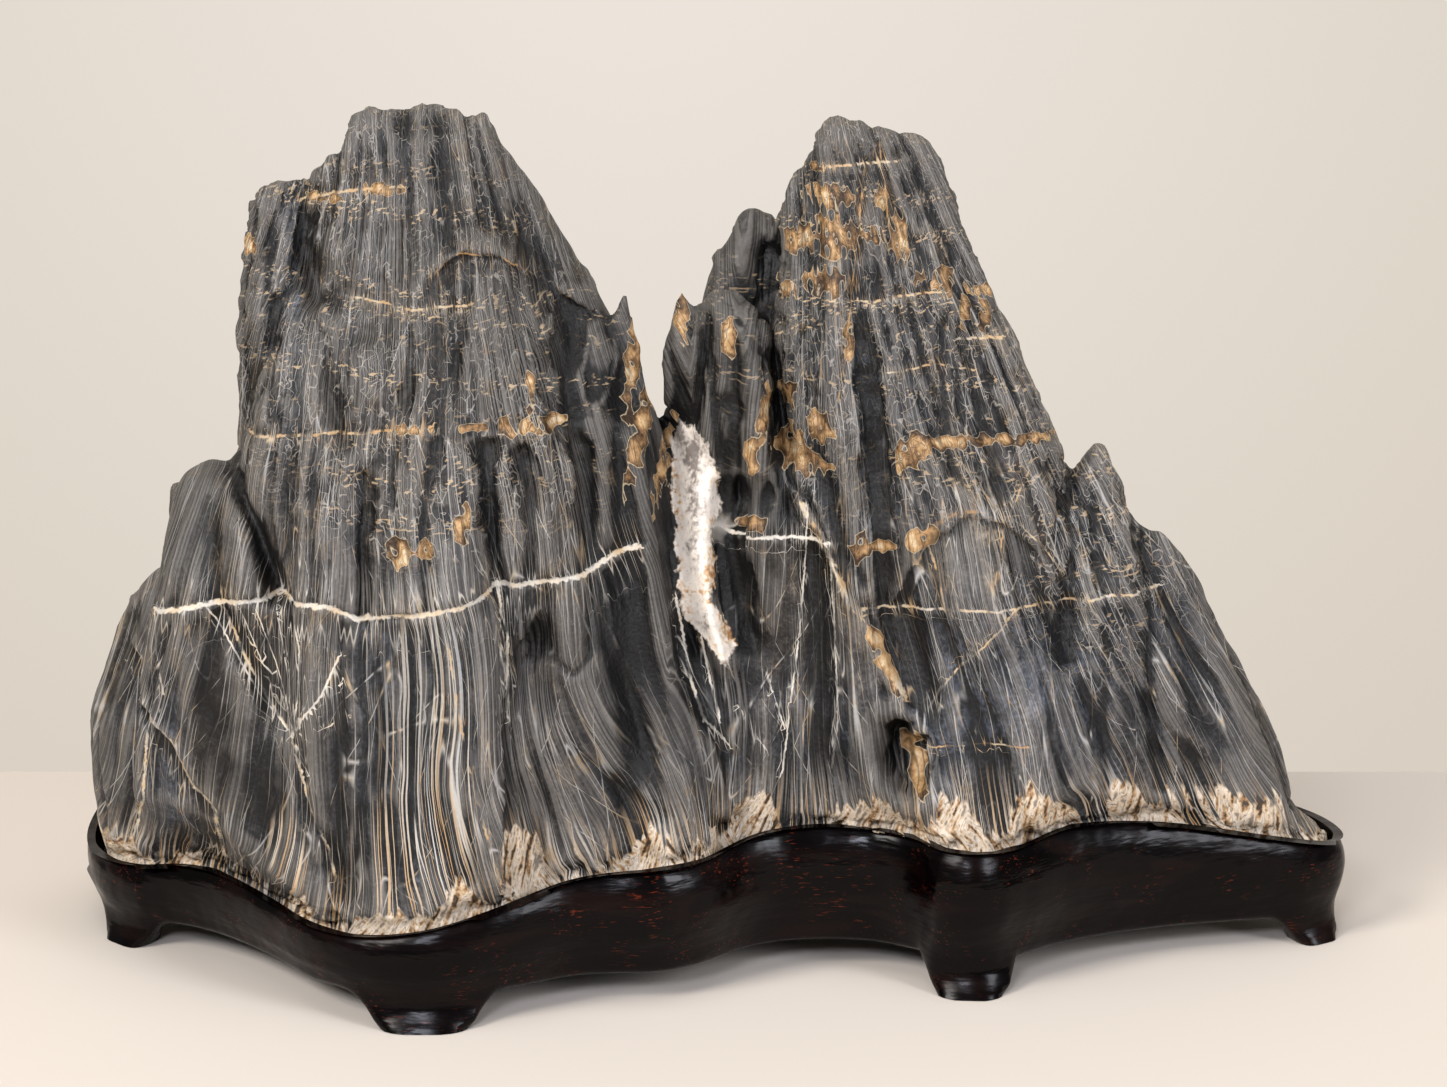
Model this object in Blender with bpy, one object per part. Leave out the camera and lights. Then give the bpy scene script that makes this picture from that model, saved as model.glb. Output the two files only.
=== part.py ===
"""A scholar's rock with twin peaks, standing in the hardwood stand that was carved to fit it.

The stone is one piece: tapering crags that grew together, split by a cleft with a seam of calcite.
The stand is one piece: a shallow tray whose wavy rim follows the stone's foot, on six short legs.
The stone only rests in the tray, so nothing joins the two.

Frame: metres, +Z up, the front is -Y. The origin is on the table, under the middle of the stand.
Lengths below are in millimetres until MM turns them into metres, and places are given before the
last step, which centres the whole by about two millimetres.
"""

import math

import bmesh
import bpy
import numpy as np
from mathutils import Matrix, Vector, noise

MM = 0.001

# ---- driving dimensions of the stand ----

# The rim's outer edge, anticlockwise from the west end: (x, y, height of the rim above the table).
RIM = [
    (-243, 50, 34),  # west end
    (-240, 16, 31),
    (-221, -9, 32),
    (-191, -26, 37),
    (-166, -51, 35),
    (-139, -83, 33),
    (-103, -96, 37),  # front west lobe, over its leg
    (-70, -86, 44),
    (-46, -72, 49),
    (-22, -72, 51),
    (0, -60, 51),
    (17, -42, 55),
    (41, -37, 56),  # the bay between the two front lobes
    (64, -41, 55),
    (78, -60, 55),
    (94, -65, 55),  # front east lobe, over its leg
    (112, -54, 54),
    (131, -39, 57),
    (166, -24, 53),
    (205, -15, 45),
    (232, -3, 39),
    (239, 16, 38),  # east end
    (230, 41, 38),
    (198, 61, 42),
    (152, 76, 46),
    (108, 86, 45),  # back east lobe
    (62, 80, 48),
    (12, 74, 50),
    (-46, 84, 47),
    (-98, 96, 41),  # back west lobe
    (-150, 92, 38),
    (-196, 89, 38),
    (-234, 77, 38),
]
# Each leg stands under the rim near (x, y); the third value is half the width of its foot.
LEGS = [
    (-224, -7, 10),
    (-101, -95, 15.5),
    (90, -66, 12.5),
    (228, -6, 9),
    (114, 85, 13),
    (-128, 95, 15),
]

LEG_FLARE = 16  # the hollow curve from a foot up into the rail
RAIL_STEP = 13  # spacing of the cross sections between the legs
RAIL_BOTTOM = 10.8
TRAY_UNDERSIDE = 16
TRAY_FLOOR = 22

# ---- driving dimensions of the stone ----

SEAT_GAP = 0.3  # the stone's flat foot clears the tray floor by this
WALL_GAP = 2.2  # and the rim's inner wall by this
RIM_WALL = 7  # thickness of the rim's wall
VOXEL = 2.4  # grid on which the crags grow together
BLEND_TIMES = 10  # how often the fused skin is relaxed, which rounds the joins between the crags
PLUMP = 0.2  # put back what the relaxing took off
CLEFT_X = -8  # the grain fans from another point on each side of the cleft
STONE_FACES = 6750

# A crag is a tapering column. Each level is (height, west edge, east edge, front edge, back edge).
CRAGS = {
    "west_core": [
        (20, -172, 12, -52, 78),
        (80, -164, 4, -48, 72),
        (140, -154, -11, -40, 62),
        (200, -144, -26, -30, 50),
        (240, -138, -42, -21, 42),
        (265, -134, -56, -15, 36),
        (288, -130, -71, -9, 31),
        (302, -124, -79, -3, 24),
    ],
    "west_tower": [
        (20, -203, -118, -34, 80),
        (100, -196, -120, -30, 70),
        (140, -188, -122, -26, 60),
        (168, -179, -123, -20, 52),
        (200, -170, -124, -16, 44),
        (240, -169, -126, -10, 36),
        (268, -170, -130, -4, 28),
        (281, -167, -140, 0, 22),
    ],
    "west_stair": [
        (200, -160, -104, -12, 34),
        (268, -150, -108, -8, 30),
        (285, -144, -112, -2, 24),
        (295, -139, -116, 2, 18),
    ],
    "thumb": [
        (20, -212, -150, -46, 20),
        (90, -208, -150, -48, 18),
        (130, -204, -150, -46, 12),
        (150, -200, -154, -43, 10),
        (170, -195, -161, -34, 4),
        (183, -192, -172, -22, -2),
    ],
    "west_flank": [
        (20, -228, -176, -14, 72),
        (55, -230, -180, -8, 70),
        (80, -233, -184, -2, 66),
        (100, -228, -186, 2, 60),
        (120, -220, -190, 6, 50),
        (136, -212, -198, 10, 40),
    ],
    "face_middle": [
        (20, -188, -132, -60, 0),
        (90, -184, -130, -60, 0),
        (140, -178, -130, -56, 0),
        (180, -170, -128, -48, 0),
        (215, -160, -126, -37, 0),
        (240, -150, -126, -24, 0),
    ],
    "face_inner": [
        (20, -162, -108, -77, 0),
        (90, -158, -108, -74, 0),
        (140, -156, -108, -66, 0),
        (175, -150, -106, -58, 0),
        (205, -142, -104, -48, 0),
        (230, -134, -104, -35, 0),
    ],
    "front_column": [
        (20, -137, -62, -88, 0),
        (80, -135, -63, -85, 0),
        (140, -132, -66, -77, 0),
        (180, -128, -69, -66, 0),
        (205, -124, -73, -54, 0),
        (232, -117, -77, -39, 0),
        (262, -108, -82, -22, 0),
        (285, -102, -88, -12, 0),
    ],
    "leaf_dome": [
        (130, -112, -46, -60, 0),
        (190, -111, -46, -57, 0),
        (220, -110, -50, -47, 0),
        (245, -106, -58, -37, 0),
        (262, -98, -68, -30, 0),
        (270, -92, -76, -24, 0),
    ],
    "sweep_high": [
        (20, -78, -22, -67, 60),
        (80, -74, -24, -62, 56),
        (150, -72, -28, -52, 48),
        (200, -68, -30, -38, 40),
        (228, -64, -34, -28, 32),
        (248, -60, -45, -17, 22),
    ],
    "sweep_low": [
        (20, -44, 10, -62, 54),
        (50, -42, 4, -57, 52),
        (90, -40, -3, -48, 48),
        (130, -38, -9, -40, 42),
        (170, -36, -16, -31, 34),
        (200, -34, -23, -24, 26),
    ],
    "needle_west": [
        (130, -40, -10, -34, 4),
        (165, -38, -15, -28, 2),
        (195, -38, -20, -20, 0),
        (218, -37, -26, -14, -2),
        (234, -36, -29, -11, -3),
        (246, -34, -30, -9, -4),
    ],
    "calcite": [
        (60, -8, 14, -40, 20),
        (104, -8, 10, -36, 20),
        (124, -9, 8, -32, 20),
        (150, -13, 4, -26, 20),
        (170, -16, 1, -18, 18),
        (186, -15, -3, -8, 14),
    ],
    "middle": [
        (20, -14, 74, -30, 60),
        (70, -8, 72, -29, 54),
        (110, -2, 66, -28, 46),
        (140, 0, 58, -26, 40),
        (160, 2, 52, -22, 34),
        (174, 6, 44, -12, 30),
    ],
    "slab": [
        (90, -8, 34, -22, 34),
        (150, -6, 28, -18, 28),
        (196, -10, 22, -15, 22),
        (222, -10, 19, -12, 16),
        (238, -7, 14, -9, 10),
        (246, -2, 8, -7, 4),
    ],
    "slab_flake": [
        (150, 6, 26, -25, 10),
        (190, 8, 24, -23, 8),
        (220, 8, 20, -19, 6),
        (240, 7, 14, -14, 2),
    ],
    "needle_east": [
        (110, -16, 0, -10, 16),
        (160, -17, -3, -8, 12),
        (200, -17, -6, -6, 9),
        (226, -17, -8, -5, 7),
        (238, -15, -9, -4, 4),
        (247, -13, -10, -3, 1),
    ],
    "rear_peak": [
        (80, -14, 34, 4, 62),
        (180, -10, 30, 8, 52),
        (225, -8, 27, 12, 46),
        (248, -2, 25, 16, 40),
        (262, 6, 22, 19, 35),
        (271, 10, 17, 22, 32),
    ],
    "east_core": [
        (20, 18, 168, -40, 76),
        (90, 18, 152, -36, 66),
        (150, 19, 134, -30, 54),
        (185, 18, 125, -25, 47),
        (220, 18, 110, -19, 40),
        (255, 20, 93, -11, 32),
        (278, 24, 83, -6, 27),
        (291, 28, 76, -2, 23),
        (300, 37, 66, 1, 18),
    ],
    "east_buttress": [
        (20, 50, 142, -58, 20),
        (60, 50, 144, -52, 20),
        (100, 54, 141, -45, 18),
        (130, 60, 135, -40, 16),
        (160, 68, 127, -34, 12),
        (190, 78, 115, -26, 8),
    ],
    "east_dome": [
        (100, 60, 128, -40, 10),
        (135, 66, 121, -41, 10),
        (155, 72, 113, -37, 10),
        (168, 80, 102, -31, 10),
    ],
    "east_face": [
        (100, 36, 104, -36, 10),
        (160, 31, 96, -34, 10),
        (200, 26, 86, -29, 10),
        (240, 25, 76, -20, 10),
        (276, 31, 67, -10, 10),
    ],
    "east_rib": [
        (20, 118, 170, -34, 50),
        (100, 112, 154, -31, 44),
        (160, 100, 134, -25, 34),
        (200, 92, 119, -19, 28),
        (232, 86, 105, -12, 22),
    ],
    "shoulder_horn": [
        (20, 120, 192, -27, 62),
        (90, 122, 176, -22, 52),
        (130, 125, 165, -17, 42),
        (158, 128, 154, -11, 32),
        (178, 132, 146, -4, 20),
        (189, 137, 141, 2, 12),
    ],
    "shoulder_low": [
        (20, 148, 223, -15, 56),
        (40, 148, 218, -13, 54),
        (60, 149, 212, -11, 50),
        (80, 150, 205, -8, 46),
        (110, 151, 191, -3, 38),
        (134, 153, 178, 2, 30),
        (152, 156, 166, 6, 24),
    ],
    "east_toe": [
        (20, 190, 232, -3, 34),
        (32, 190, 231, -3, 32),
        (42, 196, 227, 0, 28),
    ],
    "back_west_column": [
        (20, -196, -104, 10, 88),
        (90, -184, -104, 10, 80),
        (150, -166, -102, 10, 70),
        (206, -150, -102, 10, 57),
        (240, -138, -104, 10, 48),
    ],
    "back_west_spur": [
        (20, -140, -92, 10, 92),
        (80, -136, -90, 10, 84),
        (126, -128, -92, 10, 72),
        (140, -120, -98, 10, 60),
    ],
    "back_middle_column": [
        (20, -96, -24, 10, 79),
        (90, -92, -26, 10, 71),
        (150, -86, -34, 10, 62),
        (214, -82, -46, 10, 48),
        (250, -84, -60, 10, 38),
    ],
    "back_east_column": [
        (20, 66, 146, 10, 80),
        (80, 62, 138, 10, 72),
        (150, 58, 120, 10, 60),
        (200, 56, 100, 10, 48),
        (240, 54, 84, 10, 38),
    ],
    "back_east_spur": [
        (20, 30, 84, 10, 72),
        (70, 32, 80, 10, 66),
        (104, 38, 72, 10, 58),
        (118, 46, 66, 10, 50),
    ],
    "back_saddle": [
        (20, -30, 60, 10, 66),
        (70, -26, 52, 10, 60),
        (110, -20, 40, 10, 50),
        (138, -12, 30, 10, 40),
    ],
}

# Rounded heads that break the two summits: (x, y, z of the top, half width, half depth, half height).
KNOBS = [
    (-122, 6, 313, 8, 10, 22),
    (-110, 12, 311, 9, 9, 18),
    (-99, 12, 313, 10, 10, 20),
    (-90, 9, 309, 8, 9, 20),
    (-82, 8, 311, 6, 8, 24),
    (-162, 8, 285, 7, 8, 18),
    (-152, 10, 283, 6, 8, 16),
    (-142, 10, 285, 7, 8, 16),
    (45, 6, 309, 10, 9, 18),
    (57, 8, 304, 11, 9, 18),
    (67, 9, 303, 8, 8, 20),
    (162, 10, 157, 8, 10, 24),
    (-184, -8, 186, 12, 14, 26),
    (-206, 22, 138, 10, 16, 24),
]

# Thin tips stay crisp: (x, z, radius of the zone that is hardly worn).
TIPS = [(-31, 240, 26), (-12, 240, 22), (139, 190, 16), (4, 244, 14), (14, 270, 14)]

# Lines on the front face, as points (x, z). "step" raises the ground on the left of the line's
# direction, by the first amount, and lowers it on the right, by the second; both die away over
# the reach. "groove" cuts a valley of that depth and half width, and "rib" raises one.
FRONT_LINES = [
    # the seam: above it the west massif overhangs in four scallops
    ("step", [(-27, 160), (-45, 154), (-67, 152), (-76, 154), (-85, 149), (-100, 144),
              (-122, 142), (-135, 145), (-154, 146), (-175, 142), (-199, 136)], 0, 2.0, 16),
    ("step", [(-199, 136), (-175, 142), (-154, 146), (-135, 145), (-122, 142), (-100, 144),
              (-85, 149), (-76, 154), (-67, 152), (-45, 154), (-27, 160)], 4.0, 0, 14),
    # between the four scallops, short clefts run up from the seam
    ("groove", [(-171, 186), (-160, 170), (-153, 147)], 6, 5),
    ("groove", [(-120, 190), (-122, 165), (-121, 143)], 5, 5),
    ("groove", [(-78, 200), (-77, 175), (-76, 153)], 5, 4),
    # the flute east of the tower, and the edge of the leaf-shaped dome beside it
    ("groove", [(-150, 286), (-146, 262), (-140, 236), (-132, 205)], 8, 8),
    ("step", [(-124, 206), (-108, 220), (-102, 238), (-99, 254), (-89, 263), (-75, 261),
              (-62, 253), (-44, 241)], 0, 4.0, 12),
    # the crack beside the flat inclusion, and the inclusion's own face
    ("groove", [(-67, 198), (-64, 187), (-61, 176)], 8, 4),
    ("groove", [(-46, 196), (-45, 176), (-46, 157)], 3, 4),
    # the vertical arris where the striped column ends
    ("step", [(-74, 46), (-73, 86), (-72, 122), (-73, 140), (-75, 153)], 2.5, 5.0, 12),
    # the flake on the west corner, and the fan of ribs beside it
    ("step", [(-214, 126), (-200, 106), (-187, 86), (-178, 66), (-176, 44)], 3.5, 2.0, 14),
    ("groove", [(-171, 138), (-159, 118), (-147, 96), (-136, 56)], 4, 7),
    # the curtain that sweeps down into the cleft
    ("groove", [(-52, 232), (-47, 195), (-42, 158), (-38, 128), (-24, 88)], 2.5, 7),
    ("rib", [(-30, 200), (-24, 160), (-16, 120), (-8, 84), (4, 56)], 3, 8),
    # the cleft itself, beside the seam of calcite and on down to the foot
    ("groove", [(-18, 200), (-15, 172), (-12, 150), (-8, 128), (0, 106), (4, 86), (6, 60)], 9, 6),
    ("rib", [(-8, 178), (-8, 158), (-6, 140), (-2, 126), (3, 116)], 5, 6),
    ("groove", [(8, 178), (6, 160), (8, 140), (12, 122)], 7, 5),
    # the slab in front of the rear peak
    ("groove", [(21, 258), (20, 230), (22, 208), (26, 190)], 8, 5),
    ("step", [(17, 181), (18, 209), (10, 238)], 2.5, 2.0, 8),
    # a shelf across the middle mass
    ("step", [(-1, 163), (19, 160), (40, 159)], 2.5, 1.5, 10),
    # the flaked edge that leads down to the eye
    ("step", [(69, 99), (64, 112), (57, 123), (48, 137), (45, 149), (39, 165), (33, 179), (23, 186)],
     0, 4.5, 10),
    ("rib", [(26, 188), (36, 172), (44, 152), (50, 134), (60, 120), (68, 106)], 3, 5),
    # below the eye, a fold to the foot
    ("groove", [(66, 70), (68, 48)], 5, 7),
    # the dome's crown on the east massif, and the shelf through its foot
    ("step", [(64, 136), (68, 150), (76, 163), (89, 171), (103, 165), (115, 150), (123, 137)], 0, 3.0, 9),
    ("step", [(50, 138), (64, 137), (111, 138), (123, 137), (143, 137), (161, 135)], 1.6, 1.2, 9),
    # between the east massif and its shoulders
    ("groove", [(123, 184), (127, 160), (127, 138), (126, 118)], 6, 6),
    ("groove", [(155, 156), (156, 134), (157, 98), (163, 66)], 5, 6),
    # slack hollows on the east peak
    ("groove", [(88, 236), (96, 206), (104, 180)], 3, 8),
    ("groove", [(56, 250), (54, 214), (56, 184)], 3, 9),
    ("groove", [(100, 120), (103, 86), (106, 60)], 3, 9),
]

# Lines on the back face, in the same form: the seam comes round, and the columns part along clefts.
BACK_LINES = [
    ("step", [(-204, 128), (-170, 140), (-140, 134), (-104, 142), (-64, 150), (-34, 146)], 3.5, 1.5, 14),
    ("step", [(34, 132), (66, 126), (98, 133), (134, 128), (168, 132)], 2.5, 1.5, 12),
    ("groove", [(-106, 262), (-102, 200), (-99, 130), (-96, 50)], 5, 8),
    ("groove", [(-152, 230), (-160, 160), (-172, 90), (-180, 46)], 5, 8),
    ("groove", [(-44, 214), (-36, 150), (-30, 90), (-24, 50)], 4, 9),
    ("groove", [(18, 240), (20, 190), (16, 130), (6, 70)], 6, 7),
    ("groove", [(80, 250), (92, 190), (100, 120), (112, 56)], 4, 9),
    ("step", [(52, 268), (60, 236), (64, 190), (62, 150)], 3, 3, 12),
    ("step", [(-76, 128), (-70, 96), (-72, 52)], 3, 3, 12),
    ("rib", [(-130, 228), (-128, 190), (-132, 150)], 4, 9),
    ("groove", [(148, 148), (152, 110), (158, 60)], 4, 6),
]

# Pits on the front face: (x, z, half width, half height, lean in degrees, depth, height of the lip).
FRONT_PITS = [
    (68, 84, 9, 15, -14, 11, 2.5),  # the eye, at the foot of the east massif
    (-63, 131, 5, 9, 0, 7, 1),  # the small pocket under the seam
    (-50, 236, 9, 16, 20, 6, 0),  # a hollow behind the leaf-shaped dome
    (126, 172, 5, 12, 8, 5, 0),
]
BACK_PITS = [
    (-58, 104, 8, 14, 12, 8, 2),
    (84, 168, 8, 17, -12, 6, 1),
    (-118, 176, 6, 10, 0, 6, 1),
]


def smooth_row(rows, height):
    """The level at this height, with the edges eased between the given ones."""
    if height <= rows[0][0]:
        return rows[0][1:]
    for low, high in zip(rows, rows[1:]):
        if height <= high[0]:
            t = (height - low[0]) / (high[0] - low[0])
            return [a + (b - a) * t for a, b in zip(low[1:], high[1:])]
    return rows[-1][1:]


def superellipse(angle, power):
    """A point on a unit superellipse: power 2 is a circle, and more is squarer."""
    c, s = math.cos(angle), math.sin(angle)
    return (
        math.copysign(abs(c) ** (2 / power), c),
        math.copysign(abs(s) ** (2 / power), s),
    )


def crag(name, rows, sides=28, power=2.5, step=10):
    """One tapering column, lofted through rings at even heights and closed at both ends."""
    mesh = bmesh.new()
    heights = [row[0] for row in rows]
    count = max(3, round((heights[-1] - heights[0]) / step))
    rings = []
    for k in range(count + 1):
        height = heights[0] + (heights[-1] - heights[0]) * k / count
        west, east, front, back = smooth_row(rows, height)
        ring = []
        for i in range(sides):
            u, v = superellipse(2 * math.pi * i / sides, power)
            x = (west + east) / 2 + u * (east - west) / 2
            y = (front + back) / 2 + v * (back - front) / 2
            ring.append(mesh.verts.new(Vector((x, y, height)) * MM))
        rings.append(ring)
    for low, high in zip(rings, rings[1:]):
        for i in range(sides):
            j = (i + 1) % sides
            mesh.faces.new((low[i], low[j], high[j], high[i]))
    mesh.faces.new(list(reversed(rings[0])))
    mesh.faces.new(rings[-1])
    return object_of(name, mesh)


def knob(name, x, y, top, half_width, half_depth, half_height):
    """A rounded head: a ball, squashed to size."""
    mesh = bmesh.new()
    place = Matrix.Translation(Vector((x, y, top - half_height)) * MM)
    size = Matrix.Diagonal((half_width * MM, half_depth * MM, half_height * MM, 1))
    bmesh.ops.create_icosphere(mesh, subdivisions=3, radius=1, matrix=place @ size)
    return object_of(name, mesh)


def object_of(name, mesh):
    """Turns a bmesh into an object in the scene."""
    data = bpy.data.meshes.new(name)
    mesh.normal_update()
    mesh.to_mesh(data)
    mesh.free()
    made = bpy.data.objects.new(name, data)
    bpy.context.scene.collection.objects.link(made)
    return made


def join(objects, name):
    """Puts the meshes into one object, still as separate shells."""
    mesh = bmesh.new()
    for piece in objects:
        mesh.from_mesh(piece.data)
        bpy.data.objects.remove(piece)
    return object_of(name, mesh)


def apply_modifiers(piece):
    """Replaces the mesh by what its modifiers make of it."""
    graph = bpy.context.evaluated_depsgraph_get()
    evaluated = piece.evaluated_get(graph)
    made = bpy.data.meshes.new_from_object(evaluated)
    piece.modifiers.clear()
    piece.data = made


# ---- the stand ----


def rim_curve(samples_per_span=24):
    """The rim's outer edge as a closed smooth curve, as points (x, y, height) with even spacing."""
    points = []
    count = len(RIM)
    for i in range(count):
        p0, p1, p2, p3 = (Vector(RIM[(i + k) % count]) for k in (-1, 0, 1, 2))
        for k in range(samples_per_span):
            t = k / samples_per_span
            points.append(
                0.5
                * (
                    2 * p1
                    + (p2 - p0) * t
                    + (2 * p0 - 5 * p1 + 4 * p2 - p3) * t * t
                    + (3 * p1 - p0 - 3 * p2 + p3) * t**3
                )
            )
    return points


def flat_distance(a, b):
    return math.hypot(a[0] - b[0], a[1] - b[1])


class Rim:
    """The rim's edge, read by the distance along it."""

    def __init__(self):
        self.points = rim_curve()
        self.along = [0.0]
        for a, b in zip(self.points, self.points[1:] + self.points[:1]):
            self.along.append(self.along[-1] + flat_distance(a, b))
        self.length = self.along[-1]

    def at(self, distance):
        distance %= self.length
        count = len(self.points)
        low, high = 0, count
        while high - low > 1:
            middle = (low + high) // 2
            if self.along[middle] <= distance:
                low = middle
            else:
                high = middle
        t = (distance - self.along[low]) / (self.along[low + 1] - self.along[low])
        return self.points[low].lerp(self.points[(low + 1) % count], t)

    def nearest(self, x, y):
        """The distance along the edge of its point closest to (x, y)."""
        best = min(range(len(self.points)), key=lambda i: flat_distance(self.points[i], (x, y)))
        return self.along[best]

    def inward(self, distance, reach=9):
        """The horizontal direction into the tray, averaged over a short stretch."""
        ahead, behind = self.at(distance + reach), self.at(distance - reach)
        along = Vector((ahead[0] - behind[0], ahead[1] - behind[1], 0)).normalized()
        return Vector((-along.y, along.x, 0))


def leg_share(rim, distance):
    """1 over a leg, 0 on the open rail, and a hollow curve between."""
    beyond = min(
        abs((distance - rim.nearest(x, y) + rim.length / 2) % rim.length - rim.length / 2) - half
        for x, y, half in LEGS
    )
    t = min(max(beyond / LEG_FLARE, 0), 1)
    return (1 - t) ** 2.3


def rail_section(height, leg):
    """The cross section as (distance inward, height): tray floor, rim, outer wall and leg."""
    bottom = RAIL_BOTTOM * (1 - leg)
    belly = bottom + (height - bottom) * 0.42
    return [
        (RIM_WALL + 2.2, TRAY_FLOOR),
        (RIM_WALL + 0.5, TRAY_FLOOR + 1.5),
        (RIM_WALL, height - 3),
        (RIM_WALL - 2, height - 0.5),
        (2.4, height),
        (0.3, height - 2.2),
        (0.5, belly + 8),
        (2.2 + leg, belly),
        (5.0 + 0.6 * leg, bottom + 4 + 4 * leg),
        (5.2 - 4.4 * leg, bottom),
        (14 + 4 * leg, bottom),
        (17 + 4 * leg, TRAY_UNDERSIDE),
    ]


def station_distances(rim):
    """Where the cross sections stand: close together at each leg, and RAIL_STEP apart between."""
    beyond = (0, 3, 6.5, 11, 17)
    legs = sorted((rim.nearest(x, y), half) for x, y, half in LEGS)
    stations = []
    for k, (leg, half) in enumerate(legs):
        following, next_half = legs[(k + 1) % len(legs)]
        if k == len(legs) - 1:
            following += rim.length
        stations += [leg - half - step for step in reversed(beyond)] + [leg - half / 3, leg + half / 3]
        stations += [leg + half + step for step in beyond]
        start, end = stations[-1], following - next_half - beyond[-1]
        gaps = max(2, round((end - start) / RAIL_STEP))
        stations += [start + (end - start) * i / gaps for i in range(1, gaps)]
    return stations


def carve_stand(rim):
    """Lofts the rail's cross section round the rim and closes the tray above and below."""
    mesh = bmesh.new()
    rings = []
    for distance in station_distances(rim):
        edge, inward = rim.at(distance), rim.inward(distance)
        flat = Vector((edge.x, edge.y, 0))
        ring = []
        for depth, height in rail_section(edge.z, leg_share(rim, distance)):
            ring.append(mesh.verts.new((flat + inward * depth + Vector((0, 0, height))) * MM))
        rings.append(ring)
    for one, other in zip(rings, rings[1:] + rings[:1]):
        for k in range(len(one) - 1):
            mesh.faces.new((one[k], one[k + 1], other[k + 1], other[k]))
    mesh.faces.new([ring[0] for ring in rings])
    mesh.faces.new([ring[-1] for ring in reversed(rings)])
    bmesh.ops.recalc_face_normals(mesh, faces=mesh.faces)
    return object_of("stand", mesh)


# ---- the stone ----


def seat_envelope(rim, gaps=96):
    """The room that the stand leaves for the stone: a well inside the rim that opens wide above it."""
    mesh = bmesh.new()
    levels = [  # (distance inward of the rim's edge, height above the table or above the rim)
        (RIM_WALL + WALL_GAP + 2.5, lambda top: TRAY_FLOOR + SEAT_GAP),
        (RIM_WALL + WALL_GAP, lambda top: TRAY_FLOOR + SEAT_GAP + 4),
        (RIM_WALL + WALL_GAP, lambda top: top),
        (RIM_WALL - 1, lambda top: top + 7),
        (-12, lambda top: top + 30),
        (-12, lambda top: 360),
    ]
    rings = []
    for k in range(gaps):
        distance = rim.length * k / gaps
        edge, inward = rim.at(distance), rim.inward(distance, reach=14)
        flat = Vector((edge.x, edge.y, 0))
        rings.append(
            [
                mesh.verts.new((flat + inward * depth + Vector((0, 0, height(edge.z)))) * MM)
                for depth, height in levels
            ]
        )
    for one, other in zip(rings, rings[1:] + rings[:1]):
        for k in range(len(levels) - 1):
            mesh.faces.new((one[k], other[k], other[k + 1], one[k + 1]))
    mesh.faces.new([ring[0] for ring in reversed(rings)])
    mesh.faces.new([ring[-1] for ring in rings])
    bmesh.ops.recalc_face_normals(mesh, faces=mesh.faces)
    return object_of("seat_envelope", mesh)


def fuse_crags():
    """Grows the crags and knobs together on a fine grid, into one closed skin."""
    pieces = [crag(name, rows) for name, rows in CRAGS.items()]
    pieces += [knob(f"knob_{i}", *sizes) for i, sizes in enumerate(KNOBS)]
    stone = join(pieces, "stone")
    remesh = stone.modifiers.new("grow_together", "REMESH")
    remesh.mode = "VOXEL"
    remesh.voxel_size = VOXEL * MM
    apply_modifiers(stone)
    return stone


def fan(x, z):
    """The grain runs down from a point above each massif; this is the place across the grain."""
    west = (x + 115) / (431 - z) * 300
    east = (x - 31) / (380 - z) * 260 + 60
    return np.where(x < CLEFT_X, west, east)


def noise_at(*columns):
    """Smooth noise, from -1 to 1, at many points."""
    return np.array([noise.noise(Vector(point)) for point in zip(*columns)])


def weathering(x, y, z):
    """Ridges that run down the grain, and shallow steps where the beds part."""
    across = fan(x, z)
    wide = 1 - 2.4 * np.abs(noise_at(across / 30, y / 40, z / 300 + 3))
    fine = 1 - 2.4 * np.abs(noise_at(across / 13, y / 22 + 7, z / 160))
    beds = np.clip(3 * noise_at(x / 80, y / 80, z / 16), -0.6, 0.6)
    lumps = noise_at(x / 34 + 5, y / 34, z / 34)
    return 1.7 * (wide - 0.5) + 1.1 * (fine - 0.5) + 0.6 * beds + 1.3 * lumps


def from_line(x, z, points):
    """The distance to a line, with its sign (left of the direction is plus), and to its ends."""
    nearest = np.full(x.shape, 1e9)
    side = np.zeros(x.shape)
    past = np.zeros(x.shape)
    for k, ((x0, z0), (x1, z1)) in enumerate(zip(points, points[1:])):
        length = math.hypot(x1 - x0, z1 - z0)
        ux, uz = (x1 - x0) / length, (z1 - z0) / length
        along = (x - x0) * ux + (z - z0) * uz
        held = np.clip(along, 0, length)
        away = np.hypot(x - x0 - held * ux, z - z0 - held * uz)
        closer = away < nearest
        nearest = np.where(closer, away, nearest)
        side = np.where(closer, np.sign(ux * (z - z0) - uz * (x - x0)), side)
        over = np.zeros(x.shape)
        if k == 0:
            over = np.maximum(over, -along)
        if k == len(points) - 2:
            over = np.maximum(over, along - length)
        past = np.where(closer, over, past)
    return nearest, side, past


def line_relief(x, z, kind, points, *sizes):
    """How far one of the front lines raises the ground."""
    away, side, past = from_line(x, z, points)
    reach = sizes[-1]
    fade = np.exp(-((np.maximum(past, 0) / reach) ** 2))
    if kind == "step":
        up, down = sizes[0], sizes[1]
        raised = np.where(side > 0, up, -down) * np.minimum(away / 1.5, 1)
        return raised * np.exp(-away / reach) * fade
    bump = sizes[0] * np.exp(-((away / reach) ** 2)) * fade
    return bump if kind == "rib" else -bump


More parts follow.
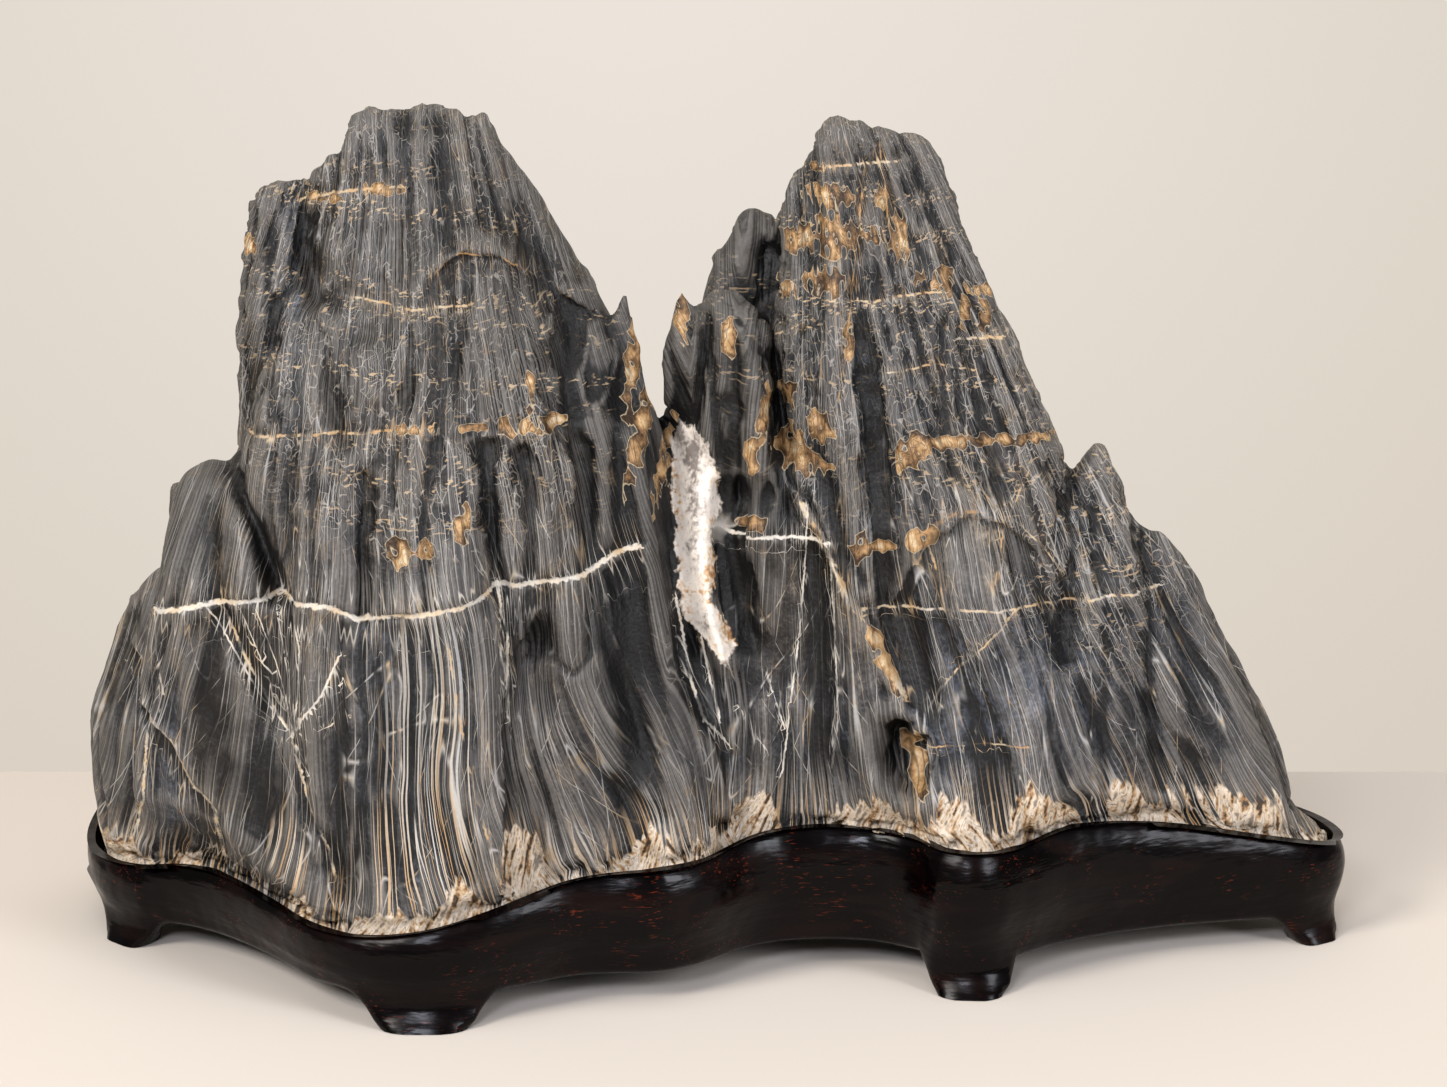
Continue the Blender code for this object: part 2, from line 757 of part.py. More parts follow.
def pit_relief(x, z, x0, z0, half_width, half_height, lean, depth, lip):
    """A bowl with a raised lip."""
    tilt = math.radians(lean)
    u = ((x - x0) * math.cos(tilt) - (z - z0) * math.sin(tilt)) / half_width
    w = ((x - x0) * math.sin(tilt) + (z - z0) * math.cos(tilt)) / half_height
    r = np.hypot(u, w)
    bowl = -depth * np.sqrt(np.clip(1 - r * r, 0, 1))
    return bowl + lip * np.exp(-(((r - 1.2) / 0.25) ** 2))


def relax(places, edges, strength, times):
    """Draws each point towards the middle of its neighbours."""
    count = len(places)
    valence = np.bincount(edges.ravel(), minlength=count)[:, None]
    for _ in range(times):
        total = np.zeros_like(places)
        for axis in range(3):
            total[:, axis] += np.bincount(edges[:, 0], places[edges[:, 1], axis], count)
            total[:, axis] += np.bincount(edges[:, 1], places[edges[:, 0], axis], count)
        places = places + strength[:, None] * (total / valence - places)
    return places


def mesh_array(items, name, width, kind):
    values = np.empty(len(items) * width, kind)
    items.foreach_get(name, values)
    return values.reshape(-1, width)


def relief(x, z, lines, pits):
    """How far all the lines and pits of one face raise the ground."""
    total = np.zeros(x.shape)
    for kind, points, *sizes in lines:
        total += line_relief(x, z, kind, points, *sizes)
    for pit in pits:
        total += pit_relief(x, z, *pit)
    return total


def wear(stone):
    """Blends the crags, draws the front lines and pits, and weathers the skin."""
    mesh = stone.data
    places = mesh_array(mesh.vertices, "co", 3, np.float32).astype(float) / MM
    edges = mesh_array(mesh.edges, "vertices", 2, np.int32)
    strength = np.full(len(places), 0.5)
    for x, z, radius in TIPS:
        near = np.hypot(places[:, 0] - x, places[:, 2] - z) / radius
        strength = np.minimum(strength, 0.06 + 0.44 * np.clip(2 * near - 1, 0, 1))
    places = relax(places, edges, strength, BLEND_TIMES)
    mesh.vertices.foreach_set("co", (places * MM).ravel())
    mesh.update()

    normals = mesh_array(mesh.vertices, "normal", 3, np.float32).astype(float)
    x, y, z = places.T
    forward = np.clip((0.3 - normals[:, 1]) / 0.4, 0, 1)
    backward = np.clip((normals[:, 1] - 0.3) / 0.3, 0, 1)
    upright = 1 - np.abs(normals[:, 2])
    moved = relief(x, z, BACK_LINES, BACK_PITS) * backward - relief(x, z, FRONT_LINES, FRONT_PITS) * forward
    places += normals * (PLUMP + weathering(x, y, z) * upright * strength * 2)[:, None]
    places[:, 1] += moved
    places = relax(places, edges, strength * 0.6, 1)
    mesh.vertices.foreach_set("co", (places * MM).ravel())
    mesh.update()


def seat_stone(stone, rim):
    """Cuts the stone to the room inside the stand, which leaves it a flat foot, and thins its faces."""
    envelope = seat_envelope(rim)
    envelope.hide_render = True
    envelope.display_type = "WIRE"
    cut = stone.modifiers.new("seat", "BOOLEAN")
    cut.operation = "INTERSECT"
    cut.object = envelope
    apply_modifiers(stone)
    thin = stone.modifiers.new("facets", "DECIMATE")
    thin.ratio = STONE_FACES / (2 * len(stone.data.polygons))
    apply_modifiers(stone)
    bpy.data.objects.remove(envelope)


def material(name, colour, roughness):
    made = bpy.data.materials.new(name)
    made.use_nodes = True
    shader = made.node_tree.nodes["Principled BSDF"]
    shader.inputs["Base Color"].default_value = (*colour, 1)
    shader.inputs["Roughness"].default_value = roughness
    shader.inputs["Metallic"].default_value = 0
    return made


def centre(pieces):
    """Moves the meshes together, so that the origin lies under the middle of the whole."""
    corners = [vert.co for piece in pieces for vert in piece.data.vertices]
    shift = Vector([-(min(c[i] for c in corners) + max(c[i] for c in corners)) / 2 for i in (0, 1)] + [0])
    for piece in pieces:
        piece.data.transform(Matrix.Translation(shift))
    return shift


def main():
    for old in list(bpy.data.objects):
        bpy.data.objects.remove(old)

    rim = Rim()
    stand = carve_stand(rim)
    stand.data.shade_smooth()
    stand.data.set_sharp_from_angle(angle=math.radians(40))
    stand.data.materials.append(material("rosewood", (0.012, 0.007, 0.006), 0.25))

    stone = fuse_crags()
    wear(stone)
    seat_stone(stone, rim)
    stone.data.materials.clear()
    stone.data.materials.append(material("limestone", (0.045, 0.045, 0.048), 0.55))
    shift = centre([stand, stone])
    print("centred by", [round(value / MM, 2) for value in shift])


main()
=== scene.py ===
# %% [markdown]
# # A scholar's rock on its carved stand
#
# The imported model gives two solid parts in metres, +Z up: `stone`, a natural rock with two peaks,
# and `stand`, the wooden tray that it rests in. This lesson dresses them. It gives the stone its
# skin, veins and crust, gives the stand its smooth carved faces and gloss, and stands both on a
# pale table. The frame is loaded first, because every piece is placed against it.

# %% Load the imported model
import math
from functools import partial

import bpy
import numpy as np
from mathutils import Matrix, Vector, noise
from mathutils.bvhtree import BVHTree
from mathutils.kdtree import KDTree


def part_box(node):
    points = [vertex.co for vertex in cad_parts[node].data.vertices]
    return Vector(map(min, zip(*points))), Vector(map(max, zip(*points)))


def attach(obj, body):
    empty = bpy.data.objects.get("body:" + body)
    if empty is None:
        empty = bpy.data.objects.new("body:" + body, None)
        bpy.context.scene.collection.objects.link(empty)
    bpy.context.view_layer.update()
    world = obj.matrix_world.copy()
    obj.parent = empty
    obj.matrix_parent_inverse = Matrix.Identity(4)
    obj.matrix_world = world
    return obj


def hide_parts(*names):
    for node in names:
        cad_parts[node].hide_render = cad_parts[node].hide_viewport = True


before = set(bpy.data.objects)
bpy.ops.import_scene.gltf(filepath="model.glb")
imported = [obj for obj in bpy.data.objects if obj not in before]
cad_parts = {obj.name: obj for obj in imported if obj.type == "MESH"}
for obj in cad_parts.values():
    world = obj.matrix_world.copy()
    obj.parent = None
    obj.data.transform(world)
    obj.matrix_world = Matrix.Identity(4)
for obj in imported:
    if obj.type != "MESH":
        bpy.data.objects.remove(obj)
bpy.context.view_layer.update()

MM = 0.001

# %% [markdown]
# ## Small tools
#
# Colours are picked as sRGB hex, as in a paint program, and Blender's sockets want linear light, so
# one function converts them. A second adds one shader node with its settings, inputs and ramp stops.
# The others pass whole meshes to numpy, which moves a hundred thousand points in one line.

# %% Colour, node and mesh helpers
def linear(hex_colour):
    """An sRGB hex colour as linear red, green, blue, alpha."""
    shares = [int(hex_colour[k : k + 2], 16) / 255 for k in (1, 3, 5)]
    return tuple(s / 12.92 if s <= 0.04045 else ((s + 0.055) / 1.055) ** 2.4 for s in shares) + (1.0,)


def node(tree, kind, inputs=(), stops=(), out=0, **settings):
    """Adds one shader node and gives back an output, or all of them for None.

    "TexNoise" is a node's name, "VectorMath ADD" has an operation too, and capitals alone are Math's.
    """
    kind, _, operation = kind.partition(" ")
    if kind.isupper():
        kind, operation = "Math", kind
    made = tree.nodes.new("ShaderNode" + kind)
    if operation:
        made.operation = operation
    for name, value in settings.items():
        setattr(made, name, value)
    for name, value in (inputs if isinstance(inputs, dict) else dict(enumerate(inputs))).items():
        if isinstance(value, bpy.types.NodeSocket):
            tree.links.new(value, made.inputs[name])
        else:
            made.inputs[name].default_value = value
    for k, (place, shade) in enumerate(stops):
        ramp = made.color_ramp.elements
        stop = ramp[k] if k < 2 else ramp.new(place)
        stop.position = place
        stop.color = linear(shade) if isinstance(shade, str) else (shade, shade, shade, 1)
    return made.outputs if out is None else made.outputs[out]


def new_material(name):
    made = bpy.data.materials.new(name)
    made.use_nodes = True
    return made, made.node_tree, made.node_tree.nodes["Principled BSDF"]


def pick_only(piece):
    """Selects one object and nothing else, which every operator here relies on."""
    bpy.ops.object.select_all(action="DESELECT")
    piece.select_set(True)
    bpy.context.view_layer.objects.active = piece


def read(items, name, width, kind=np.float32):
    values = np.empty(len(items) * width, kind)
    items.foreach_get(name, values)
    return values.reshape(-1, width)


def copy_of(node_name, name):
    """A copy of a CAD node with its loose triangles merged; the node itself is left alone."""
    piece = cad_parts[node_name].copy()
    piece.data = piece.data.copy()
    piece.name = piece.data.name = name
    piece.parent = None
    for key in list(piece.keys()):
        del piece[key]
    bpy.context.collection.objects.link(piece)
    pick_only(piece)
    bpy.ops.object.mode_set(mode="EDIT")
    bpy.ops.mesh.select_all(action="SELECT")
    bpy.ops.mesh.remove_doubles(threshold=1e-6)
    bpy.ops.object.mode_set(mode="OBJECT")
    return piece


def triangles(piece):
    return sum(len(face.vertices) - 2 for face in piece.data.polygons)


# %% [markdown]
# ## The camera
#
# A long lens from a little above, square on to the front, keeps both peaks and the whole stand in
# view with little perspective. Its place is worked out from a target inside the rock.

# %% Place the camera
CAMERA_TARGET = Vector((0.00524, -0.03027, 0.16))
CAMERA_DISTANCE = 1.21
CAMERA_DOWN = math.radians(14)

bpy.ops.object.camera_add()
camera = bpy.context.object
camera.location = CAMERA_TARGET + CAMERA_DISTANCE * Vector((0, -math.cos(CAMERA_DOWN), math.sin(CAMERA_DOWN)))
camera.rotation_euler = (math.pi / 2 - CAMERA_DOWN, 0, 0)
camera.data.lens = 85
bpy.context.scene.camera = camera
print("camera at", tuple(round(c, 3) for c in camera.location))

# %% [markdown]
# ## Table, wall and light
#
# The rock stands on a pale table, lit by big soft lights, so that the fine ridges are drawn by shade
# and the polish of the stand shows broad highlights. The key light is high on the left, a weaker fill
# is on the right, a faint one hangs above, and one near the camera draws the highlights on the rail.
# A pale wall, which glows on its own as painted light, stands so far back that the rock can be looked at from behind
# as well.

# %% Lay the table and hang the wall
def pale_sheet(name, size, place, turn):
    bpy.ops.mesh.primitive_plane_add(size=1, location=place, rotation=turn)
    sheet = bpy.context.object
    sheet.name = name
    sheet.scale = (*size, 1)
    bpy.ops.object.transform_apply(location=False, rotation=True, scale=True)
    paint, tree, shader = new_material(name + " paint")
    sheet.data.materials.append(paint)
    return paint, tree, shader


TABLE_SIZE, TABLE_EDGE = (4.0, 2.204), 0.204  # its far edge is this far behind the middle of the rock
table_middle = (0, TABLE_EDGE - TABLE_SIZE[1] / 2, 0)
_, _, table_shader = pale_sheet("table", TABLE_SIZE, table_middle, (0, 0, 0))
table_shader.inputs["Base Color"].default_value = linear("#ded5ca")
table_shader.inputs["Specular IOR Level"].default_value = 0.0

# the wall is no lamp but glows on its own, as painted light, a little brighter round a spot low in its middle than at
# its sides, a painted pool of light
WALL_SIZE, WALL_MIDDLE, PAINTED_LIGHT_SPOT = (11.0, 6.6), (0, 2.6, 1.25), (-0.095, 0.0, -0.983)
glowing_wall_material, wall_tree, _ = pale_sheet("wall", WALL_SIZE, WALL_MIDDLE, (math.pi / 2, 0, 0))
wall_place = node(wall_tree, "TexCoord", out=3)
from_spot = node(wall_tree, "VectorMath DISTANCE", (wall_place, PAINTED_LIGHT_SPOT), out=1)
wall_share = node(wall_tree, "MapRange", (from_spot, 0.18, 1.356, 0.0, 1.0))
wall_shades = {0: wall_share, 6: linear("#ece4db"), 7: linear("#d9cfc2")}
wall_colour = node(wall_tree, "Mix", wall_shades, out=2, data_type="RGBA")
wall_glow = node(wall_tree, "Emission", (wall_colour, 1.0))
wall_tree.links.new(wall_glow, wall_tree.nodes["Material Output"].inputs["Surface"])
glowing_wall_material.cycles.emission_sampling = "NONE"
print("table edge", TABLE_EDGE, "m behind the middle of the rock")

# %% Hang the lights
def soft_light(name, place, aim, size, watts, colour):
    bpy.ops.object.light_add(type="AREA", location=place)
    lamp = bpy.context.object
    lamp.name = name
    lamp.rotation_euler = (Vector(aim) - Vector(place)).to_track_quat("-Z", "Y").to_euler()
    lamp.data.shape = "RECTANGLE"
    lamp.data.size, lamp.data.size_y = size
    lamp.data.energy = watts
    lamp.data.color = linear(colour)[:3]


soft_light("key", (-1.75, -1.55, 1.9), (0, 0, 0.12), (0.9, 0.9), 53, "#fffaf5")
soft_light("fill", (1.8, -1.5, 1.1), (0, 0, 0.12), (0.6, 0.9), 30, "#f4f6ff")
soft_light("top", (0.0, -0.2, 1.6), (0, 0, 0.1), (1.4, 0.7), 8, "#fffaf5")
soft_light("front", (-0.4, -1.75, 1.1), (0, 0, 0.05), (0.5, 0.35), 17, "#eef1ff")

world = bpy.data.worlds.new("studio")
world.use_nodes = True
world.node_tree.nodes["Background"].inputs["Color"].default_value = linear("#fbf7f2")
world.node_tree.nodes["Background"].inputs["Strength"].default_value = 0.2
bpy.context.scene.world = world
tracing = bpy.context.scene.cycles
tracing.max_bounces, tracing.diffuse_bounces, tracing.glossy_bounces = 1, 1, 1  # soft light needs no more
bpy.context.scene.view_settings.view_transform = "Standard"  # plain tones, with no film curve
print("lights hung")

# %% [markdown]
# ## The stand: a smooth carved rail
#
# The real stand is sawn and carved from one rosewood block, then scraped and polished until no tool
# mark is left. The CAD solid is a loft of flat facets. Its triangles are joined back to a grid of
# quads, and a subdivision surface turns that grid into one flowing face. The soles and the tray floor
# have to stay flat, so their edges get a crease.

# %% Carve the stand
SHOULDER, EASED = 22 * MM, 4.4 * MM  # how far below the lip the outer face starts to round over, and how much
LIP_LOWEST, RAIL_LOWEST = 28 * MM, 20 * MM  # heights that only the lip, and only the rail, reaches
ENDS_SHARE = 0.3  # the stand is long and narrow, so x counts this much when a point is said to face outward
WAIST, HOLLOW = 15 * MM, 1.2 * MM  # the height at which the legs are narrowest, and how much they are hollowed there
# each leg: x, y and half width in mm, and how much its foot is swollen
FEET = [(-224, -7, 10, 1.1), (-101, -95, 15.5, 1.2), (90, -66, 12.5, 1.42), (228, -6, 9, 1.1), (114, 85, 13, 1.2),
        (-128, 95, 15, 1.2)]
FOOT_TOP, SWELL_TOP = 8, 26  # mm above the floor: the foot is fully swollen up to one, and not at all past the other
BLEND_STEPS = 9
FLAT = 0.999  # a face whose normal has this much z is level


def relax(places, edges, strength, times):
    """Draws each point towards the middle of its neighbours."""
    count = len(places)
    valence = np.bincount(edges.ravel(), minlength=count)[:, None]
    for _ in range(times):
        total = np.zeros_like(places)
        for axis in range(3):
            total[:, axis] += np.bincount(edges[:, 0], places[edges[:, 1], axis], count)
            total[:, axis] += np.bincount(edges[:, 1], places[edges[:, 0], axis], count)
        places = places + strength * (total / valence - places)
    return places


def ease_shoulder(mesh):
    """Rounds the upper part of the rail's outer face, so that it catches the light as the carved one does."""
    places, normals = read(mesh.vertices, "co", 3), read(mesh.vertices, "normal", 3)
    lip = KDTree(len(places))
    for k in np.flatnonzero((normals[:, 2] > 0.8) & (places[:, 2] > LIP_LOWEST)):
        lip.insert((*places[k, :2], 0), int(k))
    lip.balance()
    outward = normals[:, :2] / np.maximum(np.linalg.norm(normals[:, :2], axis=1, keepdims=True), 1e-6)
    for k, (x, y, z) in enumerate(places):
        spot, nearest, _ = lip.find((x, y, 0))
        leaves_lip = (x - spot.x) * outward[k, 0] + (y - spot.y) * outward[k, 1]
        climbed = min(max((z - places[nearest, 2] + SHOULDER) / SHOULDER, 0), 1)
        from_middle = x * outward[k, 0] * ENDS_SHARE + y * outward[k, 1]
        faces_out = max(from_middle / max(math.hypot(ENDS_SHARE * x, y), 1e-6), 0)
        if from_middle > 0 and leaves_lip > -0.5 * MM and z > RAIL_LOWEST:
            places[k, :2] -= outward[k] * EASED * climbed**2
        if z < 2 * WAIST:
            places[k, :2] -= outward[k] * HOLLOW * faces_out**2 * math.sin(math.pi * z / (2 * WAIST)) ** 2
    return places


def swell_feet(places, normals, edges):
    """Widens each foot, and runs its leg into the rail in one smooth curve."""
    near_leg = np.zeros(len(places))
    for x0, y0, half, swell in FEET:
        leg = places[:, :2] / MM - (x0, y0)
        share = np.clip((2.2 - np.hypot(leg[:, 0], leg[:, 1]) / half) / 0.8, 0, 1)
        low = np.clip((SWELL_TOP - places[:, 2] / MM) / (SWELL_TOP - FOOT_TOP), 0, 1)
        share *= low * low * (3 - 2 * low)
        places[:, :2] += leg * (share * (swell - 1))[:, None] * MM
        near_leg = np.maximum(near_leg, np.clip((2.8 - np.hypot(leg[:, 0], leg[:, 1]) / half) / 0.8, 0, 1))
    heights = places[:, 2] / MM
    blend = near_leg * np.clip((heights - 3) / 6, 0, 1) * np.clip((42 - heights) / 8, 0, 1)
    blend *= (np.abs(normals[:, 2]) < 0.9) | (heights < 14)
    return relax(places, edges, 0.5 * blend[:, None], BLEND_STEPS)


def carve_stand():
    stand = copy_of("stand", "stand_carved")
    mesh = stand.data
    bpy.ops.object.mode_set(mode="EDIT")
    bpy.ops.mesh.select_mode(type="FACE")
    bpy.ops.mesh.select_all(action="DESELECT")
    bpy.ops.object.mode_set(mode="OBJECT")
    for face in mesh.polygons:
        flat_sheet = abs(face.normal.z) > FLAT and 12 * MM < face.center.z < 22.5 * MM
        face.select = not flat_sheet
    bpy.ops.object.mode_set(mode="EDIT")
    bpy.ops.mesh.tris_convert_to_quads(face_threshold=math.pi, shape_threshold=math.pi)
    bpy.ops.object.mode_set(mode="OBJECT")
    heights = read(mesh.vertices, "co", 3)[:, 2]
    ends = read(mesh.edges, "vertices", 2, np.int32)
    on_sheet = np.zeros(len(heights), bool)
    for face in mesh.polygons:
        if abs(face.normal.z) > FLAT:
            on_sheet[list(face.vertices)] = True
    both = on_sheet[ends].all(axis=1)
    sole, tray_floor, underside = 0, 22 * MM, 16 * MM
    flat = [both & (np.abs(heights[ends] - level).max(axis=1) < 1e-5) for level in (sole, tray_floor, underside)]
    crease = mesh.attributes.new("crease_edge", "FLOAT", "EDGE")
    crease.data.foreach_set("value", np.select(flat, (0.75, 0.9, 0.9), 0.0).astype(np.float32))
    smooth = stand.modifiers.new("carving", "SUBSURF")
    smooth.levels = smooth.render_levels = 2
    bpy.ops.object.modifier_apply(modifier="carving")
    normals, edges = read(mesh.vertices, "normal", 3), read(mesh.edges, "vertices", 2, np.int32)
    carved = swell_feet(ease_shoulder(mesh), normals, edges)
    mesh.vertices.foreach_set("co", np.asarray(carved, np.float32).ravel())
    mesh.update()
    bpy.ops.object.shade_smooth_by_angle(angle=math.radians(50))
    return stand


stand = carve_stand()
print("the stand has", triangles(stand), "triangles")

# %% [markdown]
# ### Rosewood, oiled and polished
#
# Old rosewood is almost black, with short red-brown pores and flecks that run with the grain, along
# the stand. It was scraped before it was polished, so its highlights are soft and a little rippled.

# %% Finish the stand
def rosewood():
    paint, tree, shader = new_material("polished rosewood")
    place = node(tree, "TexCoord", out=3)
    # pores are 1 to 3 mm long and a few tenths wide, so the pattern is stretched along x
    along = node(tree, "Mapping", {"Vector": place, "Scale": (180, 900, 1400)})
    pores = node(tree, "TexNoise", {"Vector": along, "Scale": 1, "Detail": 3, "Roughness": 0.6})
    broad = node(tree, "Mapping", {"Vector": place, "Scale": (14, 60, 90)})
    figure = node(tree, "TexNoise", {"Vector": broad, "Scale": 1, "Detail": 4, "Distortion": 0.6})
    where = node(tree, "TexNoise", {"Vector": place, "Scale": 70, "Detail": 2})
    fleck = node(tree, "ValToRGB", {0: pores}, [(0.60, 0.0), (0.68, 1.0)])
    patch = node(tree, "ValToRGB", {0: where}, [(0.48, 0.0), (0.62, 1.0)])
    flecks = node(tree, "MULTIPLY", (fleck, patch))
    body = node(tree, "ValToRGB", {0: figure}, [(0.3, "#010000"), (0.50, "#040102"), (0.70, "#120604")])
    colour = node(tree, "Mix", {0: flecks, 6: body, 7: linear("#54200f")}, out=2, data_type="RGBA")
    tree.links.new(colour, shader.inputs["Base Color"])
    rough = node(tree, "MapRange", {0: figure, 1: 0.3, 2: 0.7, 3: 0.16, 4: 0.30})
    tree.links.new(rough, shader.inputs["Roughness"])
    lumps = node(tree, "TexNoise", {"Vector": place, "Scale": 55, "Detail": 2})
    across = node(tree, "Mapping", {"Vector": place, "Scale": (80, 80, 330)})
    ripples = node(tree, "TexNoise", {"Vector": across, "Scale": 1})
    scraped = node(tree, "MULTIPLY_ADD", (ripples, 0.3, lumps))
    soft = node(tree, "Bump", {"Height": scraped, "Strength": 0.6, "Distance": 0.0018})
    pits = node(tree, "Bump", {"Height": pores, "Strength": 0.15, "Distance": 0.0001, "Normal": soft})
    tree.links.new(pits, shader.inputs["Normal"])
    shader.inputs["IOR"].default_value = 1.5
    shader.inputs["Specular IOR Level"].default_value = 0.14
    return paint


stand.data.materials.clear()
stand.data.materials.append(rosewood())
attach(stand, "root")
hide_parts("stand")
print("the stand is polished")

# %% [markdown]
# ## The stone: from facets to skin
#
# The CAD stone has flat facets about 9 mm across. The real one is a fine-grained limestone that the
# weather has etched along its grain, so it needs far more points than a hand could place. The copy is
# remeshed on a fine even grid, relaxed until the facets are gone, and then moved point by point in
# code, as a sculptor works over a cast: first the grain, then the drawn ledges, clefts and pits.

# %% Remesh the stone on a fine grid
SKIN_GRID = 1.6 * MM
DRAWN = Vector((2.24, -0.27))  # the stone's tables are in millimetres from a zero this far east and north


def remesh_stone():
    stone = copy_of("stone", "stone_weathered")
    grid = stone.modifiers.new("skin", "REMESH")
    grid.mode = "VOXEL"
    grid.voxel_size = SKIN_GRID
    bpy.ops.object.modifier_apply(modifier="skin")
    return stone


stone = remesh_stone()
print("the stone's skin has", len(stone.data.vertices), "points")

# %% Tools that work on every point at once
def noise_at(*columns):
    """Smooth noise between -1 and 1 at many points."""
    return np.array([noise.noise(point) for point in zip(*columns)])


def from_line(x, z, points):
    """The distance to a drawn line, its side (left of the direction is plus), and how far past its ends."""
    nearest = np.full(x.shape, 1e9)
    side = np.zeros(x.shape)
    past = np.zeros(x.shape)
    for k, ((x0, z0), (x1, z1)) in enumerate(zip(points, points[1:])):
        length = math.hypot(x1 - x0, z1 - z0)
        ux, uz = (x1 - x0) / length, (z1 - z0) / length
        along = (x - x0) * ux + (z - z0) * uz
        held = np.clip(along, 0, length)
        away = np.hypot(x - x0 - held * ux, z - z0 - held * uz)
        closer = away < nearest
        nearest = np.where(closer, away, nearest)
        side = np.where(closer, np.sign(ux * (z - z0) - uz * (x - x0)), side)
        over = np.zeros(x.shape)
        if k == 0:
            over = np.maximum(over, -along)
        if k == len(points) - 2:
            over = np.maximum(over, along - length)
        past = np.where(closer, over, past)
    return nearest, side, past


def from_ellipse(x, z, x0, z0, half_width, half_height, lean):
    """How far out in a leaning ellipse each point is: 0 in its middle, 1 on its edge."""
    tilt = math.radians(lean)
    u = ((x - x0) * math.cos(tilt) - (z - z0) * math.sin(tilt)) / half_width
    w = ((x - x0) * math.sin(tilt) + (z - z0) * math.cos(tilt)) / half_height
    return np.hypot(u, w)


def blob(x, z, *ellipse):
    """1 in the middle of a leaning ellipse, 0.5 on its edge, and 0 well outside."""
    return np.clip(1.5 - from_ellipse(x, z, *ellipse), 0, 1)


def patch_level(x, z, rows):
    return np.max([blob(x, z, *row) for row in rows], axis=0)


def drawn_places(mesh):
    """The points of a mesh in millimetres from the zero of the tables."""
    return read(mesh.vertices, "co", 3).astype(float) / MM - [*DRAWN, 0]


def move_points(mesh, drawn):
    mesh.vertices.foreach_set("co", ((drawn + [*DRAWN, 0]) * MM).ravel())
    mesh.update()


# %% [markdown]
# ### The grain
#
# The beds of this rock stand on end, and their edges fan out downwards from above each peak. Three
# numbers follow that grain at every point: how far across it, how far through the rock, and how far
# along it. The sculpting below and the material later both read them, so ridges and veins agree.

# %% Read the grain
CLEFT = -8.0
WEST_FAN, EAST_FAN = (-115.0, 431.0), (31.0, 380.0)


def grain_of(x, y, z):
    """Across, through and along the grain, in millimetres."""
    swept = x + 9 * np.exp(-(((z - 122) / 42) ** 2)) * np.clip((x + 85) / 30, 0, 1) * np.clip((14 - x) / 20, 0, 1)
    west = (swept - WEST_FAN[0]) / (WEST_FAN[1] - z) * 300
    east = (swept - EAST_FAN[0]) / (EAST_FAN[1] - z) * 260
    meet = (CLEFT - WEST_FAN[0]) / (WEST_FAN[1] - z) * 300 - (CLEFT - EAST_FAN[0]) / (EAST_FAN[1] - z) * 260
    east = east + 130 + (meet - 130) * np.exp(-np.clip(swept - CLEFT, 0, None) / 9)
    across = np.where(swept < CLEFT, west, east)
    across = across + 5.0 * noise_at(x / 48, y / 48 + 3, z / 60)
    across = across + 2.0 * noise_at(x / 17, y / 17, z / 44) + 0.5 * noise_at(x / 6, y / 6, z / 20 + 7)
    return across, y + 2.2 * noise_at(x / 15 + 9, y / 15, z / 36), z + 3 * noise_at(x / 20, y / 20 + 5, z / 40)


# %% [markdown]
# ### Ledges, clefts and folds
#
# Each line below is a real feature of the front: the seam under the overhanging scallops, the edge of
# the leaf-shaped dome, the flakes, the sweep of the curtain beside the cleft. It is drawn as a few
# points (x, z). The numbers before them say how high it stands or how deep it cuts, and how far its
# slope reaches. A step is raised on the left of its direction and cut on the right.

# %% Draw the lines of the front
def paths(table):
    """Reads a table with a path on each line: its word and sizes, a bar, and its points x,z in millimetres."""
    rows = []
    for line in table.strip().split("\n"):
        if not line.startswith("#"):
            facts, points = line.split("|")
            facts = [fact if fact.isalpha() else float(fact) for fact in facts.split()]
            rows.append((facts, [tuple(float(v) for v in point.split(",")) for point in points.split()]))
    return rows


